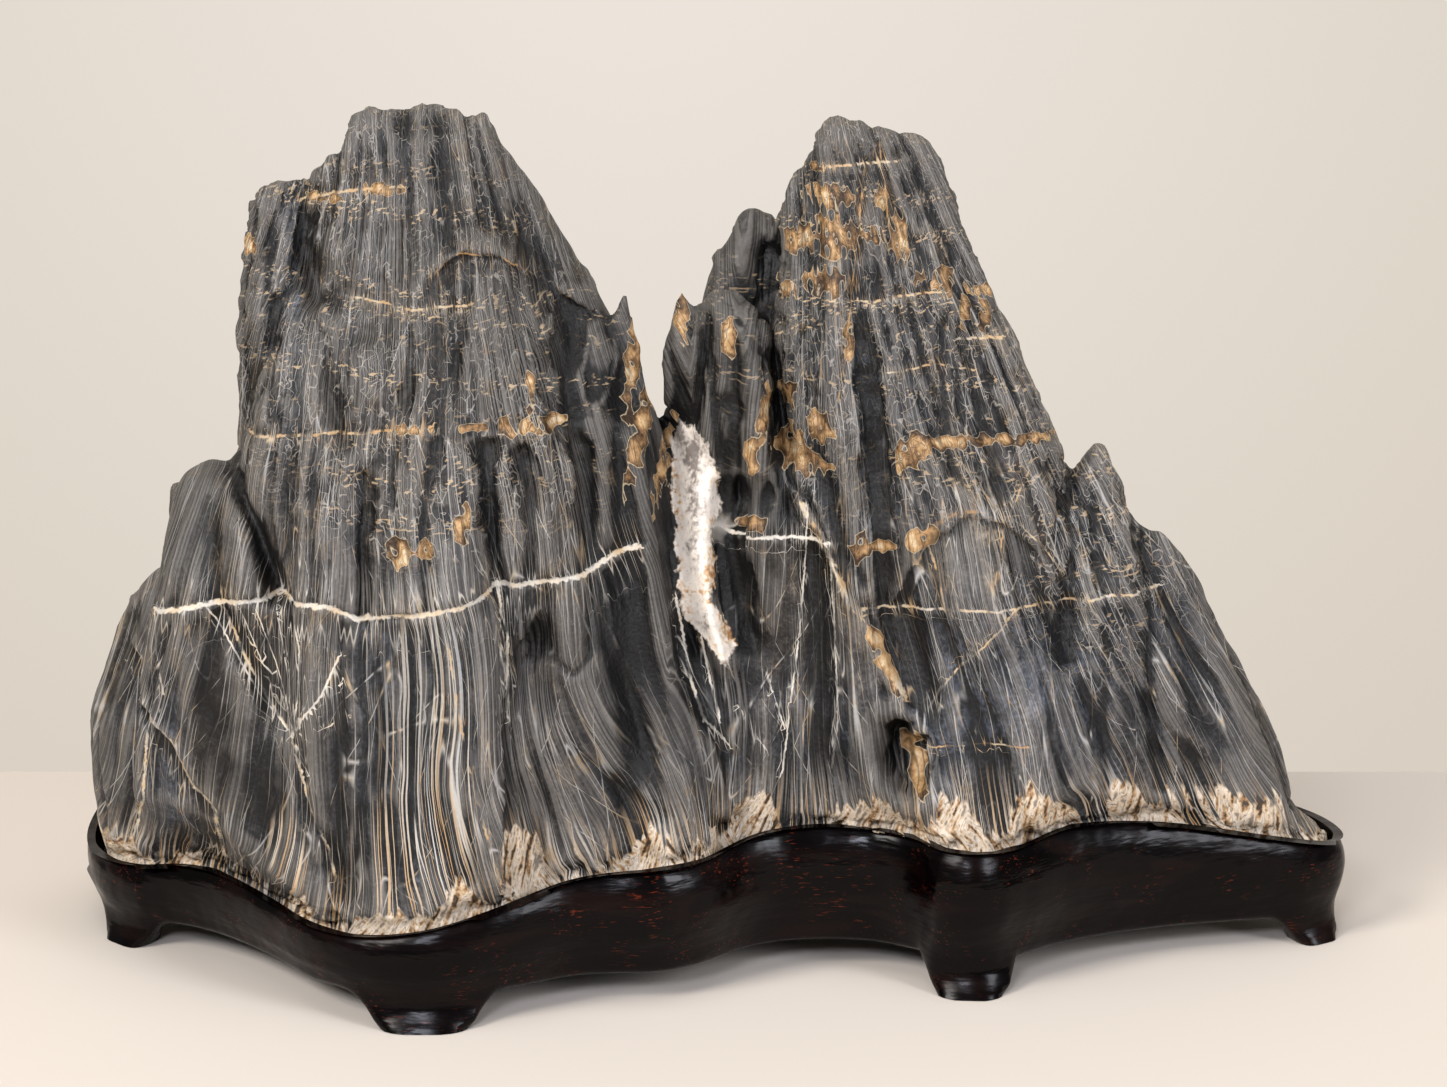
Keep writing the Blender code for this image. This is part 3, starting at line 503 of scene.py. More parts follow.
LINES = paths("""
# the seam, and its lip: above it the rock overhangs
step 1.2 1.4 7 | -27,160 -36,158 -45,153 -67,152 -76,153 -84,150 -100,146 -110,145 -122,142 -134,147 -154,146\
 -181,142 -197,138
# clefts that run up from the seam between the scallops
groove 2 2.2 | -171,186 -160,170 -153,147
groove 1.6 2 | -120,190 -122,165 -121,143
groove 2.2 2 | -78,200 -77,175 -76,153
groove 1.2 1.8 | -96,202 -100,176 -99,148
groove 1.4 1.8 | -136,200 -139,172 -138,148
# the rounded block of the thumb
groove 4 2.6 | -173,186 -166,178 -160,165 -153,147
rib 1.8 5 | -195,176 -188,186 -178,184 -170,170
# the edge of the leaf-shaped dome
step 0.3 1.6 5 | -109,215 -106,237 -99,254 -94,260 -89,263 -75,262 -65,255 -44,240
groove 0.9 1.3 | -109,215 -106,237 -99,254 -94,260 -89,263 -75,262 -65,255
groove 1.4 2 | -84,258 -88,236 -94,212 -96,190
groove 1.3 2 | -70,256 -66,230 -66,206
# the flute beside the tower, and the tower's own edge
groove 2.2 3.5 | -150,286 -146,262 -140,236 -132,205
groove 1.6 2.2 | -158,283 -157,250 -153,206
rib 1.2 3 | -163,288 -162,250 -160,206
# shallow beds that cross the upper mass
step 0.9 0.6 5 | -98,207 -127,203 -144,202 -163,200
step 0.8 0.5 4 | -110,284 -131,282 -148,277
step 0.7 0.4 4 | -84,246 -108,244 -130,246
step 0.9 0.5 4 | -46,206 -66,206 -84,204
# the flat inset and its crack, the pocket under it, and the shield beside that
groove 2.6 1.8 | -67,198 -64,187 -63,170 -65,156
groove 1.4 1.8 | -44,196 -44,176 -45,154
groove 1.3 1.5 | -58,152 -57,138 -56,124 -49,119 -44,126 -44,150
# the arris where the striped column ends, and lesser flutes in the column
step 1 1.6 5 | -74,46 -73,86 -72,122 -73,140 -75,153
groove 1.2 2.2 | -86,140 -86,100 -85,54
groove 0.9 2.2 | -104,140 -105,100 -106,52
groove 1.3 2.4 | -128,138 -130,96 -132,44
# the star of creases on the lower west face
groove 1.4 2.4 | -172,140 -165,124 -156,108 -148,98 -143,81 -135,60 -133,50
rib 0.7 2 | -148,98 -142,109 -136,116 -130,129
# the flake on the west corner
step 2.2 1 7 | -213,111 -201,98 -193,90 -186,75 -177,68 -176,55 -179,41
step 1.2 0.8 6 | -218,35 -206,66 -203,92 -206,104
# the curtain that sweeps down into the cleft
groove 1.8 3 | -52,232 -47,195 -43,158 -38,128 -24,88 -18,66
groove 1 2.4 | -34,200 -31,160 -24,120 -12,84
rib 1.2 3.2 | -24,180 -22,150 -15,116 -3,84 6,66
groove 1.2 2 | -18,170 -16,140 -11,112 -3,92 4,82
# the cleft beside the calcite
groove 2.5 2 | -17,196 -16,172 -15,150 -13,132 -7,118
groove 2.5 2 | 2,178 1,160 1,142 4,126
# strands of the dark slab, and its edge
groove 1.2 1.6 | -2,238 0,210 2,186
groove 1.4 1.6 | 8,236 9,210 9,184 8,166
step 1.4 1.2 5 | 21,184 18,202 18,215 12,230 5,240
groove 2.6 2.4 | 21,258 20,230 22,208 26,190
# the middle mass: its shelf, and cracks that run down from it
step 0.9 0.8 5 | 40,160 18,161 6,160 -1,163
groove 0.9 1.4 | 33,172 32,149 30,124 28,108
groove 1.1 1.8 | 14,158 12,138 14,118
# the flaked blade that leads down to the eye
step 0.6 2.4 5 | 68,105 60,120 49,139 43,150 38,160 31,172 23,185
step 0.8 1 4 | 23,185 27,173 34,161 42,146 52,128 62,108
# the layers that wrap round inside the eye
groove 1.6 1.1 | 70,97 66,92 64,84 66,75 70,71
rib 1.6 1.1 | 73,95 69,90 68,84 69,77 72,73
# below the eye, a fold to the foot
groove 1.5 2.5 | 66,70 67,60 68,48
# the crown of the east dome, and the vein's shelf through its foot
step 0.3 1.6 5 | 64,138 68,150 76,163 89,171 103,167 115,157 124,140
step 0.5 0.5 4 | 161,137 143,138 123,137 111,138 86,139 64,136 50,137
groove 1.6 2 | 58,160 60,140 64,116
# between the east massif and its shoulders
groove 1.8 2.2 | 123,184 127,160 127,138 126,118
groove 1.6 2.2 | 155,156 156,134 157,98 163,66
groove 1.1 2.2 | 138,190 136,160 140,120 142,70
# long joints of the east peak
groove 1.3 1.3 | 53,292 50,265 48,245 42,200
groove 1.2 1.3 | 58,298 60,284 62,262
groove 1 1.8 | 84,262 80,230 82,200
groove 1.1 1.8 | 68,290 76,268 88,240 98,214
step 0.7 0.4 4 | 81,247 65,246 55,244 40,245
step 0.7 0.3 3 | 64,292 48,291 37,290
step 0.8 0.5 4 | 120,194 94,195 76,196 59,195
groove 2 3 | 40,186 42,170 46,156 52,146
groove 1.4 1.6 | 24,244 22,218 24,198
""")
# pits: x, z, half width, half height, lean, depth and the height of the lip
PITS = [
    (66, 84, 8.5, 15, -14, 6, 2.4),  # the eye
    (-61, 135, 3.5, 7, 6, 2.2, 0.5),  # the pocket under the seam
    (-112, 236, 4, 6, 10, 1.5, 0.5),
    (-41, 223, 5, 13, 5, 3, 0.3),
    (14, 175, 7, 9, -10, 4, 0.4),
    (126, 172, 3, 8, 8, 2.5, 0),
]
# scallops over the seam: x, half width, height, lift
SCALLOPS = [(-163, 10, 36, 3.2), (-145, 8.5, 34, 3.2), (-129, 8, 44, 3.2), (-110, 10.5, 50, 4.4), (-88, 11, 44, 4.4),
            (-71, 6, 32, 2.2), (-55, 9, 32, 1.6)]
BACK_LINES = paths("""
step 1.4 1.2 6 | -204,128 -170,140 -140,134 -104,142 -64,150 -34,146
step 1.2 1 6 | 34,132 66,126 98,133 134,128 168,132
groove 2 2.4 | -106,262 -102,200 -99,130 -96,50
groove 2 2.4 | -152,230 -160,160 -172,90 -180,46
groove 2 2.4 | -44,214 -36,150 -30,90 -24,50
groove 2.2 2.4 | 18,240 20,190 16,130 6,70
groove 2 2.4 | 80,250 92,190 100,120 112,56
step 1.4 1.4 6 | 52,268 60,236 64,190 62,150
step 1.4 1.4 6 | -76,128 -70,96 -72,52
step 0.9 0.5 4 | -60,226 -96,232 -140,224
step 0.9 0.5 4 | 30,214 62,220 96,208
""")
print(len(LINES), "front lines,", len(BACK_LINES), "back lines")


# %% Sculpt the skin
CUT = 1.35  # all drawn lines are cut this much deeper than their rows say


def line_relief(x, z, kind, points, *sizes):
    away, side, past = from_line(x, z, points)
    reach = sizes[-1]
    fade = np.exp(-((np.maximum(past, 0) / (reach + 1)) ** 2))
    if kind == "step":
        raised = CUT * np.where(side > 0, sizes[0], -sizes[1]) * np.minimum(away / 0.8, 1)
        return raised * np.exp(-away / reach) * fade
    bump = CUT * sizes[0] * np.exp(-((away / reach) ** 2)) * fade
    return bump if kind == "rib" else -bump


def scallops_at(x, z):
    """The rounded lobes whose lower edges hang over the seam."""
    seam_x, seam_z = np.array(LINES[0][1][::-1]).T
    rise = z - np.interp(x, seam_x, seam_z)
    total = np.zeros(x.shape)
    for x0, half_width, height, lift in SCALLOPS:
        profile = np.sqrt(np.clip(1 - ((x - x0) / half_width) ** 2, 0, 1))
        total += lift * profile * np.clip(rise / 1.5, 0, 1) * np.clip(1 - rise / height, 0, 1) ** 0.7
    return total


def pit_relief(x, z, *ellipse, depth, lip):
    r = from_ellipse(x, z, *ellipse)
    return lip * np.exp(-(((r - 1.2) / 0.25) ** 2)) - depth * np.sqrt(np.clip(1 - r * r, 0, 1))


def drawn_relief(x, z, lines, pits=()):
    total = np.zeros(x.shape)
    for (kind, *sizes), points in lines:
        total += line_relief(x, z, kind, points, *sizes)
    for *ellipse, depth, lip in pits:
        total += pit_relief(x, z, *ellipse, depth=depth, lip=lip)
    return total


SEAT_TOP = 24  # the seat in the tray is lower than this, and stays flat
SMOOTH_TIPS = [(-31, 240, 20), (-12, 240, 18), (139, 190, 14), (4, 244, 10), (-28, 215, 14)]  # x, z, reach
# how rough the bark-like cross beds are: x, z, half width, half height, lean
BARK = [(-125, 255, 55, 60, 0), (60, 245, 55, 60, 0), (-60, 215, 26, 36, 0), (-104, 190, 34, 22, 0),
        (90, 200, 45, 26, 0), (140, 160, 30, 40, 0)]
CALCITE_EDGE = [(116, 3, 5), (121, -1, 7), (126, -7, 5), (130, -10, 1), (138, -12, -2), (150, -13, -1),
                (168, -15, 0), (180, -15, 1), (192, -15, -3), (198, -13, -8)]  # height, west edge, east edge


def calcite_at(x, y, z):
    """How far inside the calcite seam a point is, in millimetres, on the front side only."""
    heights, west, east = np.array(CALCITE_EDGE, float).T
    inside = np.minimum(x - np.interp(z, heights, west), np.interp(z, heights, east) - x)
    inside = np.minimum(inside, np.minimum(z - 117, 197 - z))
    return np.where(y < 12, inside, -9.0)


# rolled knobs along the tops: x, z, radius, height
KNOBS = [(-116, 305, 5, 2.2), (-106, 308, 4, 1.8), (-94, 309, 5, 2.0), (-84, 307, 4, 1.8), (-75, 303, 4.5, 2.4),
         (-129, 292, 4, 2.0), (-152, 284, 4.5, 2.2), (-143, 286, 3.5, 1.8), (-136, 284, 3, 1.6), (41, 307, 6, 2.4),
         (51, 303, 4.5, 1.8), (60, 299, 5, 2.0), (68, 291, 4, 1.6), (-66, 294, 4, 1.8), (-59, 284, 3.5, 1.6),
         (-52, 270, 3, 1.4), (-46, 258, 3, 1.3), (-38, 246, 3, 1.2), (74, 280, 3.5, 1.5), (80, 268, 3.5, 1.4),
         (87, 254, 3, 1.4), (94, 240, 3, 1.3), (101, 226, 3, 1.2), (108, 212, 3, 1.2), (116, 198, 3, 1.2),
         (-180, 188, 7, 1.2)]


def knobs_at(x, z):
    total = np.zeros(x.shape)
    for x0, z0, radius, height in KNOBS:
        r = np.hypot(x - x0, (z - z0) * 0.7) / radius
        total += height * np.clip(1 - r * r, 0, 1) ** 1.5
    return total


def side_share(lie):
    """0 where the skin faces front or back, 1 where it faces a side."""
    return np.clip((np.abs(lie[:, 0]) - 0.80) / 0.10, 0, 1) * np.clip((0.55 - lie[:, 2]) / 0.2, 0, 1)


def sculpt(stone):
    mesh = stone.data
    places = drawn_places(mesh)
    edges = read(mesh.edges, "vertices", 2, np.int32)
    strength = np.full((len(places), 1), 0.5)
    for x, z, radius in SMOOTH_TIPS:
        near = np.hypot(places[:, 0] - x, places[:, 2] - z)[:, None] / radius
        strength = np.minimum(strength, 0.08 + 0.42 * np.clip(2 * near - 1, 0, 1))
    strength[places[:, 2] < SEAT_TOP] = 0
    places = relax(places, edges, strength, 10)
    move_points(mesh, places)

    normals = read(mesh.vertices, "normal", 3).astype(float)
    lie = relax(normals, edges, 0.5, 12)
    x, y, z = places.T
    forward = np.clip((0.35 - normals[:, 1]) / 0.4, 0, 1)
    backward = np.clip((normals[:, 1] - 0.3) / 0.3, 0, 1)
    upright = 1 - 0.7 * np.abs(normals[:, 2])
    across, through, along = grain_of(x, y, z)
    sideways = side_share(lie)

    def grained(width, length, shift):
        """Noise along the grain, read across it on the faces and through it on the flanks."""
        steady = np.full(x.shape, shift)
        on_face = noise_at(across / width, steady, along / length)
        return on_face + sideways * (noise_at(through / width, steady + 7, along / length) - on_face)

    flutes = np.abs(grained(27, 190, 0.5))
    ribs = np.abs(grained(8, 120, 5.5))
    plates = grained(19, 110, 9.5)
    plates = np.tanh((plates - 0.16) / 0.03) + np.tanh((plates + 0.18) / 0.03)
    bark = patch_level(x, z, BARK)
    beds = np.clip(4 * grained(7, 5, 2.5), -0.5, 0.5)
    scales = grained(4.2, 8, 17.5)
    lumps = noise_at(x / 9, y / 9, z / 11)
    grown = 7.5 * (flutes - 0.2) + (2.4 + 1.4 * bark) * (ribs - 0.18) + 1.0 * plates
    grown += bark * ((0.7 + 0.6 * sideways) * beds + 1.9 * scales) + 0.6 * lumps + knobs_at(x, z)
    calm = blob(x, z, -30, 150, 26, 62, 8)
    grown *= (1 - 0.55 * calm) * np.clip(strength[:, 0] / 0.45, 0.15, 1)

    inside = calcite_at(x, y, z)
    sugar = np.abs(noise_at(x / 5, y / 5, z / 8 + 3)) * 1.4 + 0.3 * noise_at(x / 2.2, y / 2.2, z / 2.2)
    in_seam = np.clip(inside / 2.5 + 0.6, 0, 1)
    grown = grown * (1 - in_seam) + in_seam * (sugar - 0.9)

    moved = drawn_relief(x, z, BACK_LINES) * backward
    moved -= (drawn_relief(x, z, LINES, PITS) + scallops_at(x, z)) * forward
    low = np.clip((z - 30) / 26, 0, 1)
    grown = np.where(grown > 0, grown * (0.25 + 0.75 * low), grown)
    free = z > SEAT_TOP + 0.5
    places += normals * (grown * upright * free)[:, None]
    places[:, 1] += moved * np.where(moved * normals[:, 1] > 0, 0.3 + 0.7 * low, 1) * free
    corner_low, corner_high = (np.array(c) / MM - [*DRAWN, 0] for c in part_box("stone"))
    move_points(mesh, np.clip(places, corner_low, corner_high))


sculpt(stone)
print("the stone is sculpted:", triangles(stone), "triangles")

# %% [markdown]
# A piece stays under 200,000 triangles, so the even grid is thinned where the skin is nearly flat,
# and keeps its points where a ridge or ledge turns sharply.

# %% Thin the flat places
STONE_TRIANGLES = 190_000


def thin(stone):
    thinner = stone.modifiers.new("thin", "DECIMATE")
    thinner.ratio = min(1.0, STONE_TRIANGLES / triangles(stone))
    pick_only(stone)
    bpy.ops.object.modifier_apply(modifier="thin")
    bpy.ops.object.shade_smooth()


thin(stone)
print("thinned to", triangles(stone), "triangles")

# %% [markdown]
# The relief pushes the skin into the rail in places, so points by the rail are drawn back, level, towards
# the middle. Only the wood's nearest face is asked whether a point is free. Beside the lip that face can
# look away from a point that is free already, so many such points are drawn back too, by a few mm.

# %% Draw the skin back from the rail
RAIL_TOP, RAIL_GAP, RAIL_REACH = 58 * MM, 0.4 * MM, 6 * MM
DRAW_BACK, DRAW_BACKS = 0.35 * MM, 24  # one small move, and how often it may be made


def clear_rail(stone, stand):
    """Draws back each point that its nearest face of the wood has behind it or too near, and counts them."""
    wood = BVHTree.FromPolygons([v.co for v in stand.data.vertices], [f.vertices[:] for f in stand.data.polygons])
    places = read(stone.data.vertices, "co", 3)
    moved = set()
    for k in np.flatnonzero(places[:, 2] < RAIL_TOP):
        place = Vector(places[k].tolist())
        inward = -Vector((ENDS_SHARE * place.x, place.y, 0)).normalized()
        for _ in range(DRAW_BACKS):
            spot, normal, _, _ = wood.find_nearest(place, RAIL_REACH)
            gap = RAIL_GAP if spot is None else (place - spot).dot(normal)
            if gap >= RAIL_GAP or gap >= 0 and normal.z > 0.7:
                break
            place += inward * DRAW_BACK
            moved.add(int(k))
        places[k] = place
    stone.data.vertices.foreach_set("co", places.ravel())
    stone.data.update()
    return len(moved)


print(clear_rail(stone, stand), "points drawn back from the rail")

# %% [markdown]
# ## Marks on the skin
#
# What is only colour on the real stone stays colour here: the pale veins, the ochre stains, the striped
# column, the crust at the foot. They aren't raised as solids. Each is written on the skin's points as a
# number that the material reads. A vein is stored as its signed distance, because a number that passes
# through zero stays sharp between two points, while a painted mask would blur.

# %% Draw the veins
# each vein: half its width in mm, how far its hairs fray in mm, 0 white to 1 tan, and its points
SEAMS = paths("""
0.8 14 0.25 | -197,138 -181,142 -154,146 -134,147 -122,142 -110,145 -100,146 -84,150 -76,153 -67,152 -45,153 -36,158\
 -27,160
0.6 6 0.1 | -1,163 6,160 18,161 40,160
0.5 4 0.5 | 50,137 64,136 86,139 111,138 123,137 143,138 161,137
0.45 5 0.7 | -163,200 -144,202 -127,203 -98,207
0.5 5 0.7 | -148,277 -131,282 -122,283 -110,284
0.4 4 0.7 | -130,246 -108,244 -84,246
0.45 3 0.6 | 37,290 48,291 64,292
0.4 3 0.6 | 40,245 55,244 65,246 81,247
0.4 3 0.6 | 22,231 30,236
0.5 3 0.5 | 86,230 102,230
0.35 3 0.6 | 60,220 78,222 92,219
0.35 3 0.7 | 76,89 96,90 116,90
1 4 0.5 | 31,172 36,164 42,152
0.9 6 0.65 | 43,150 49,139 54,130 60,119 64,112 68,105
""")
LEFT_LEANING = paths("""
0.5 4 0.1 | -75,153 -74,145 -72,134 -72,121 -72,106
0.5 6 0.4 | -172,140 -165,124 -156,108 -148,98 -143,81 -135,60 -133,50
0.25 2 0.1 | -166,142 -157,118 -148,98 -140,86
0.22 2 0.1 | -160,142 -152,118 -147,99 -141,76
0.35 2 0.05 | 33,172 32,149 30,124 28,108 26,90 24,72
0.35 2 0.05 | 41,154 43,120 44,96 42,77
0.45 3 0.5 | 105,137 97,128 86,117 80,109 76,101
0.8 4 1 | 73,164 82,171 95,173
0.35 3 0.5 | 95,173 106,168 115,160 124,148
0.5 3 0.1 | -14,138 -9,111 -4,96 5,85
0.4 3 0.3 | -198,137 -198,123 -195,107
0.35 5 0.8 | -99,254 -94,260 -89,263 -75,262 -65,255
0.8 8 0.35 | -213,111 -201,98 -193,90 -186,75 -177,68 -179,41
0.5 3 0.6 | -91,136 -86,100 -77,64 -74,52
""")
RIGHT_LEANING = paths("""
0.4 6 0.1 | -148,98 -142,109 -136,116 -130,129
0.35 6 0.1 | -148,98 -145,113 -144,131 -147,144
0.25 2 0.1 | -148,98 -139,110 -128,121
0.22 2 0.2 | -148,98 -138,103 -127,109
0.25 2 0.1 | -148,98 -149,118 -153,144
0.35 2 0.05 | 7,101 19,82
0.35 2 0.05 | 18,112 25,91
0.4 3 0.6 | 75,161 78,153 80,144 81,139
0.4 3 0.7 | 89,186 95,178 103,167 101,159 98,145
0.35 3 0.7 | 111,184 103,167
0.45 2 0.05 | -5,124 -1,105 2,94
0.35 3 0.8 | 53,292 50,265 48,245 42,200
0.3 3 0.8 | 58,298 60,284 62,262
0.6 3 0.3 | -203,92 -206,66 -218,35
0.3 3 0.1 | -179,143 -169,127 -159,110 -148,98
""")
BACK_SEAMS = paths("""
0.75 9 0.35 | -204,128 -170,140 -140,134 -104,142 -64,150 -34,146
0.5 4 0.5 | 34,132 66,126 98,133 134,128 168,132
0.6 5 0.9 | -60,226 -96,232 -140,224
0.6 5 0.9 | 30,214 62,220 96,208
""")
BACK_THREADS = paths("""
0.5 5 0.4 | -150,138 -136,108 -128,84 -122,50
0.4 3 0.1 | -90,144 -98,112 -96,70
0.45 3 0.5 | 50,186 58,150 70,128 92,96
0.45 3 0.1 | -20,150 -10,110 4,80
""")


def vein_marks(x, z, front, front_veins, back_veins):
    """For each point: signed distance to the nearest vein in half widths, nearness, and tint."""
    side, near, tint = (np.zeros(x.shape) for _ in range(3))
    side += 20
    for here, veins in ((front, front_veins), (~front, back_veins)):
        for (half_width, fray, shade), points in veins:
            away, sign, past = from_line(x, z, points)
            closeness = np.clip(1 - away / fray, 0, 1) * np.clip(1 - past / 2.5, 0, 1) * here
            closer = closeness > near
            side = np.where(closer, sign * away / half_width, side)
            near = np.where(closer, closeness, near)
            tint = np.where(closer, shade, tint)
    return np.stack([side, near, tint], axis=1)


print(len(SEAMS) + len(LEFT_LEANING) + len(RIGHT_LEANING), "veins in front")

# %% [markdown]
# ### Stains, stripes, tones and crust
#
# The patches are leaning ellipses, one row each. Their edges are broken up later by noise in the
# material, which is how the real stains look: pulled out along the ridges they sit on.

# %% Lay out the patches
# x, z, half width, half height, lean
OCHRE = [
    (40, 280, 8, 4, 0), (42, 267, 8, 7, 0), (30, 265, 6, 5, 0), (39, 251, 7, 5, 0), (26, 247, 3, 3, 0),
    (59, 280, 2.4, 4, 0), (65, 266, 3.6, 9, 0), (56, 267, 4, 3, 0), (81, 250, 4, 5, 0), (72, 252, 2, 3, 0),
    (26, 211, 3.6, 5, 0), (37, 200, 5, 6, 0), (27, 193, 6, 7, 0), (33, 186, 8, 4, 0), (89, 241, 2, 8, 5),
    (96, 239, 2.4, 8, 5), (72, 194, 5, 6, 0), (66, 192, 2, 8, 0), (51, 159, 3.4, 6, 0), (73, 163, 5.5, 4, -30),
    (60, 159, 5, 2, 0), (-108, 166, 5, 5, 0), (-99, 168, 3, 3, 0), (14, 165, 6, 3, 0), (13, 190, 2.6, 7, 0),
    (5, 231, 2.6, 8, 0), (17, 203, 2, 12, 10), (86, 195, 14, 2.2, 0), (108, 195, 14, 1.8, 0),
    (-29, 224, 3, 22, 8), (-12, 238, 2.6, 12, -3), (-26, 200, 3, 22, 12), (-18, 186, 2.5, 16, 14),
    (-105, 206, 8, 1.6, 0), (-82, 206, 6, 1.6, 0), (-118, 283, 8, 2, 0), (-138, 279, 7, 1.6, 0),
    (-60, 206, 7, 3, 0), (-72, 206, 3, 4, 0), (-64, 218, 1.6, 7, 0), (71.5, 84, 3.6, 11, -12),
    (58, 123, 2.6, 9, -22), (63, 112, 2, 6, -22), (-86, 176, 3, 6, 0),
    (47, 231, 2, 6, 0), (-166, 262, 3, 4, 0), (95, 246, 3, 2, 0), (36, 290, 4, 1.5, 0),
]
STRIPES = [(-97, 98, 15, 54, 0), (-104, 58, 18, 22, 0), (-150, 56, 6, 14, 0)]
DUST = [
    (34, 68, 40, 9, 0), (-140, 222, 5, 34, -12), (-147, 104, 8, 16, 0), (-106, 150, 34, 8, 0),
    (-142, 128, 12, 26, 0), (60, 74, 14, 10, 0), (-56, 176, 10, 22, 0), (-50, 140, 8, 16, 0), (-118, 250, 16, 34, 0),
    (-70, 226, 12, 26, 0), (92, 156, 16, 16, 0), (6, 104, 5, 24, -14), (-62, 84, 10, 40, 0),
]
# x, z, half width, half height, lean, how light, how blue; how light is partly the stone's own tone, partly painted
# shade in pits and hollows, and partly painted light and shade on faces as they turn to the light
TONES_AND_PAINTED_SHADE = [
    (-100, 258, 60, 60, 0, -0.16, 0.0), (66, 250, 50, 60, 0, -0.14, 0.0), (108, 100, 60, 60, 0, 0.14, 0.0),
    (24, 128, 30, 50, 0, 0.13, 0.0), (62, 218, 40, 34, 0, 0.10, 0.0),
    (-106, 96, 27, 62, 0, -0.10, 0.8), (-118, 262, 15, 44, 0, 0.10, 0.8), (-150, 245, 6, 40, 0, 0.25, 0.9),
    (-163, 240, 8, 50, 0, -0.25, -0.4), (-40, 222, 13, 26, 5, -0.85, 0.0), (-30, 180, 15, 50, 8, -0.5, 0.2),
    (-22, 130, 20, 50, 14, -0.45, 0.2), (-4, 96, 14, 26, 20, -0.35, 0.2), (6, 260, 17, 24, 0, -0.95, -0.1),
    (7, 210, 14, 34, 0, -0.9, -0.4), (12, 176, 14, 18, 0, -0.95, 0.0), (6, 148, 9, 22, 0, -0.55, -0.2),
    (26, 140, 18, 26, 0, -0.2, -0.6), (28, 96, 28, 26, 0, -0.05, 0.4), (50, 216, 26, 44, 0, 0.0, 0.8),
    (48, 176, 9, 24, 0, -0.35, 0.6), (92, 152, 16, 16, 0, 0.2, -0.4), (96, 110, 34, 34, 0, 0.0, 0.8),
    (150, 110, 30, 50, 0, -0.1, 0.5), (-160, 100, 24, 50, 0, -0.25, -0.3), (-186, 160, 14, 30, 0, -0.35, -0.2),
    (-196, 76, 9, 34, 0, 0.2, 0.7), (-84, 226, 12, 40, 6, -0.05, -0.1), (-55, 176, 10, 22, 0, 0.1, -0.5),
    (-50, 136, 8, 16, 0, -0.05, -0.6), (-62, 134, 5, 10, 0, -0.9, 0.0), (63, 86, 8, 15, -14, -1.0, 0.0),
    (44, 283, 30, 12, 0, -0.2, 0.1), (-62, 236, 12, 30, 20, -0.2, 0.0), (-96, 214, 34, 14, 0, 0.05, -0.5),
    (-15, 208, 7, 30, 0, -0.4, -0.3), (-214, 100, 12, 40, 0, -0.1, -0.2), (34, 252, 18, 20, 0, -0.15, 0.3),
]
# how far the crust climbs above the rim, in mm, from west to east
CRUST_FRONT = [(-235, 1), (-224, 7), (-212, 10), (-200, 3), (-190, 5), (-180, -2), (-150, -3), (-142, 2), (-134, 6),
               (-120, 7), (-86, 6), (-76, 4), (-70, 19), (-64, 15), (-56, 7), (-48, 9), (-38, 1), (-32, 6),
               (-24, 14), (-12, 8), (2, 12), (10, 6), (24, 3), (50, 3), (66, 5), (76, 14), (88, 17), (104, 12),
               (124, 13), (136, 8), (146, 14), (160, 9), (176, 9), (190, 9), (204, 4), (230, 0)]
CRUST_BACK = [(-230, 8), (-190, 5), (-160, 14), (-120, 4), (-80, 12), (-40, 6), (0, 14), (50, 5), (90, 12), (140, 6),
              (190, 12), (230, 5)]


def rim_heights(x, y):
    """The height of the stand's rim nearest to each point, in millimetres."""
    lip = [v.co for v in stand.data.vertices if v.normal.z > 0.9 and v.co.z > 0.028]
    tree = KDTree(len(lip))
    for k, place in enumerate(lip):
        tree.insert((place.x, place.y, 0), k)
    tree.balance()
    return np.array([lip[tree.find((px, py, 0))[1]].z for px, py in zip(x * MM, y * MM)]) / MM


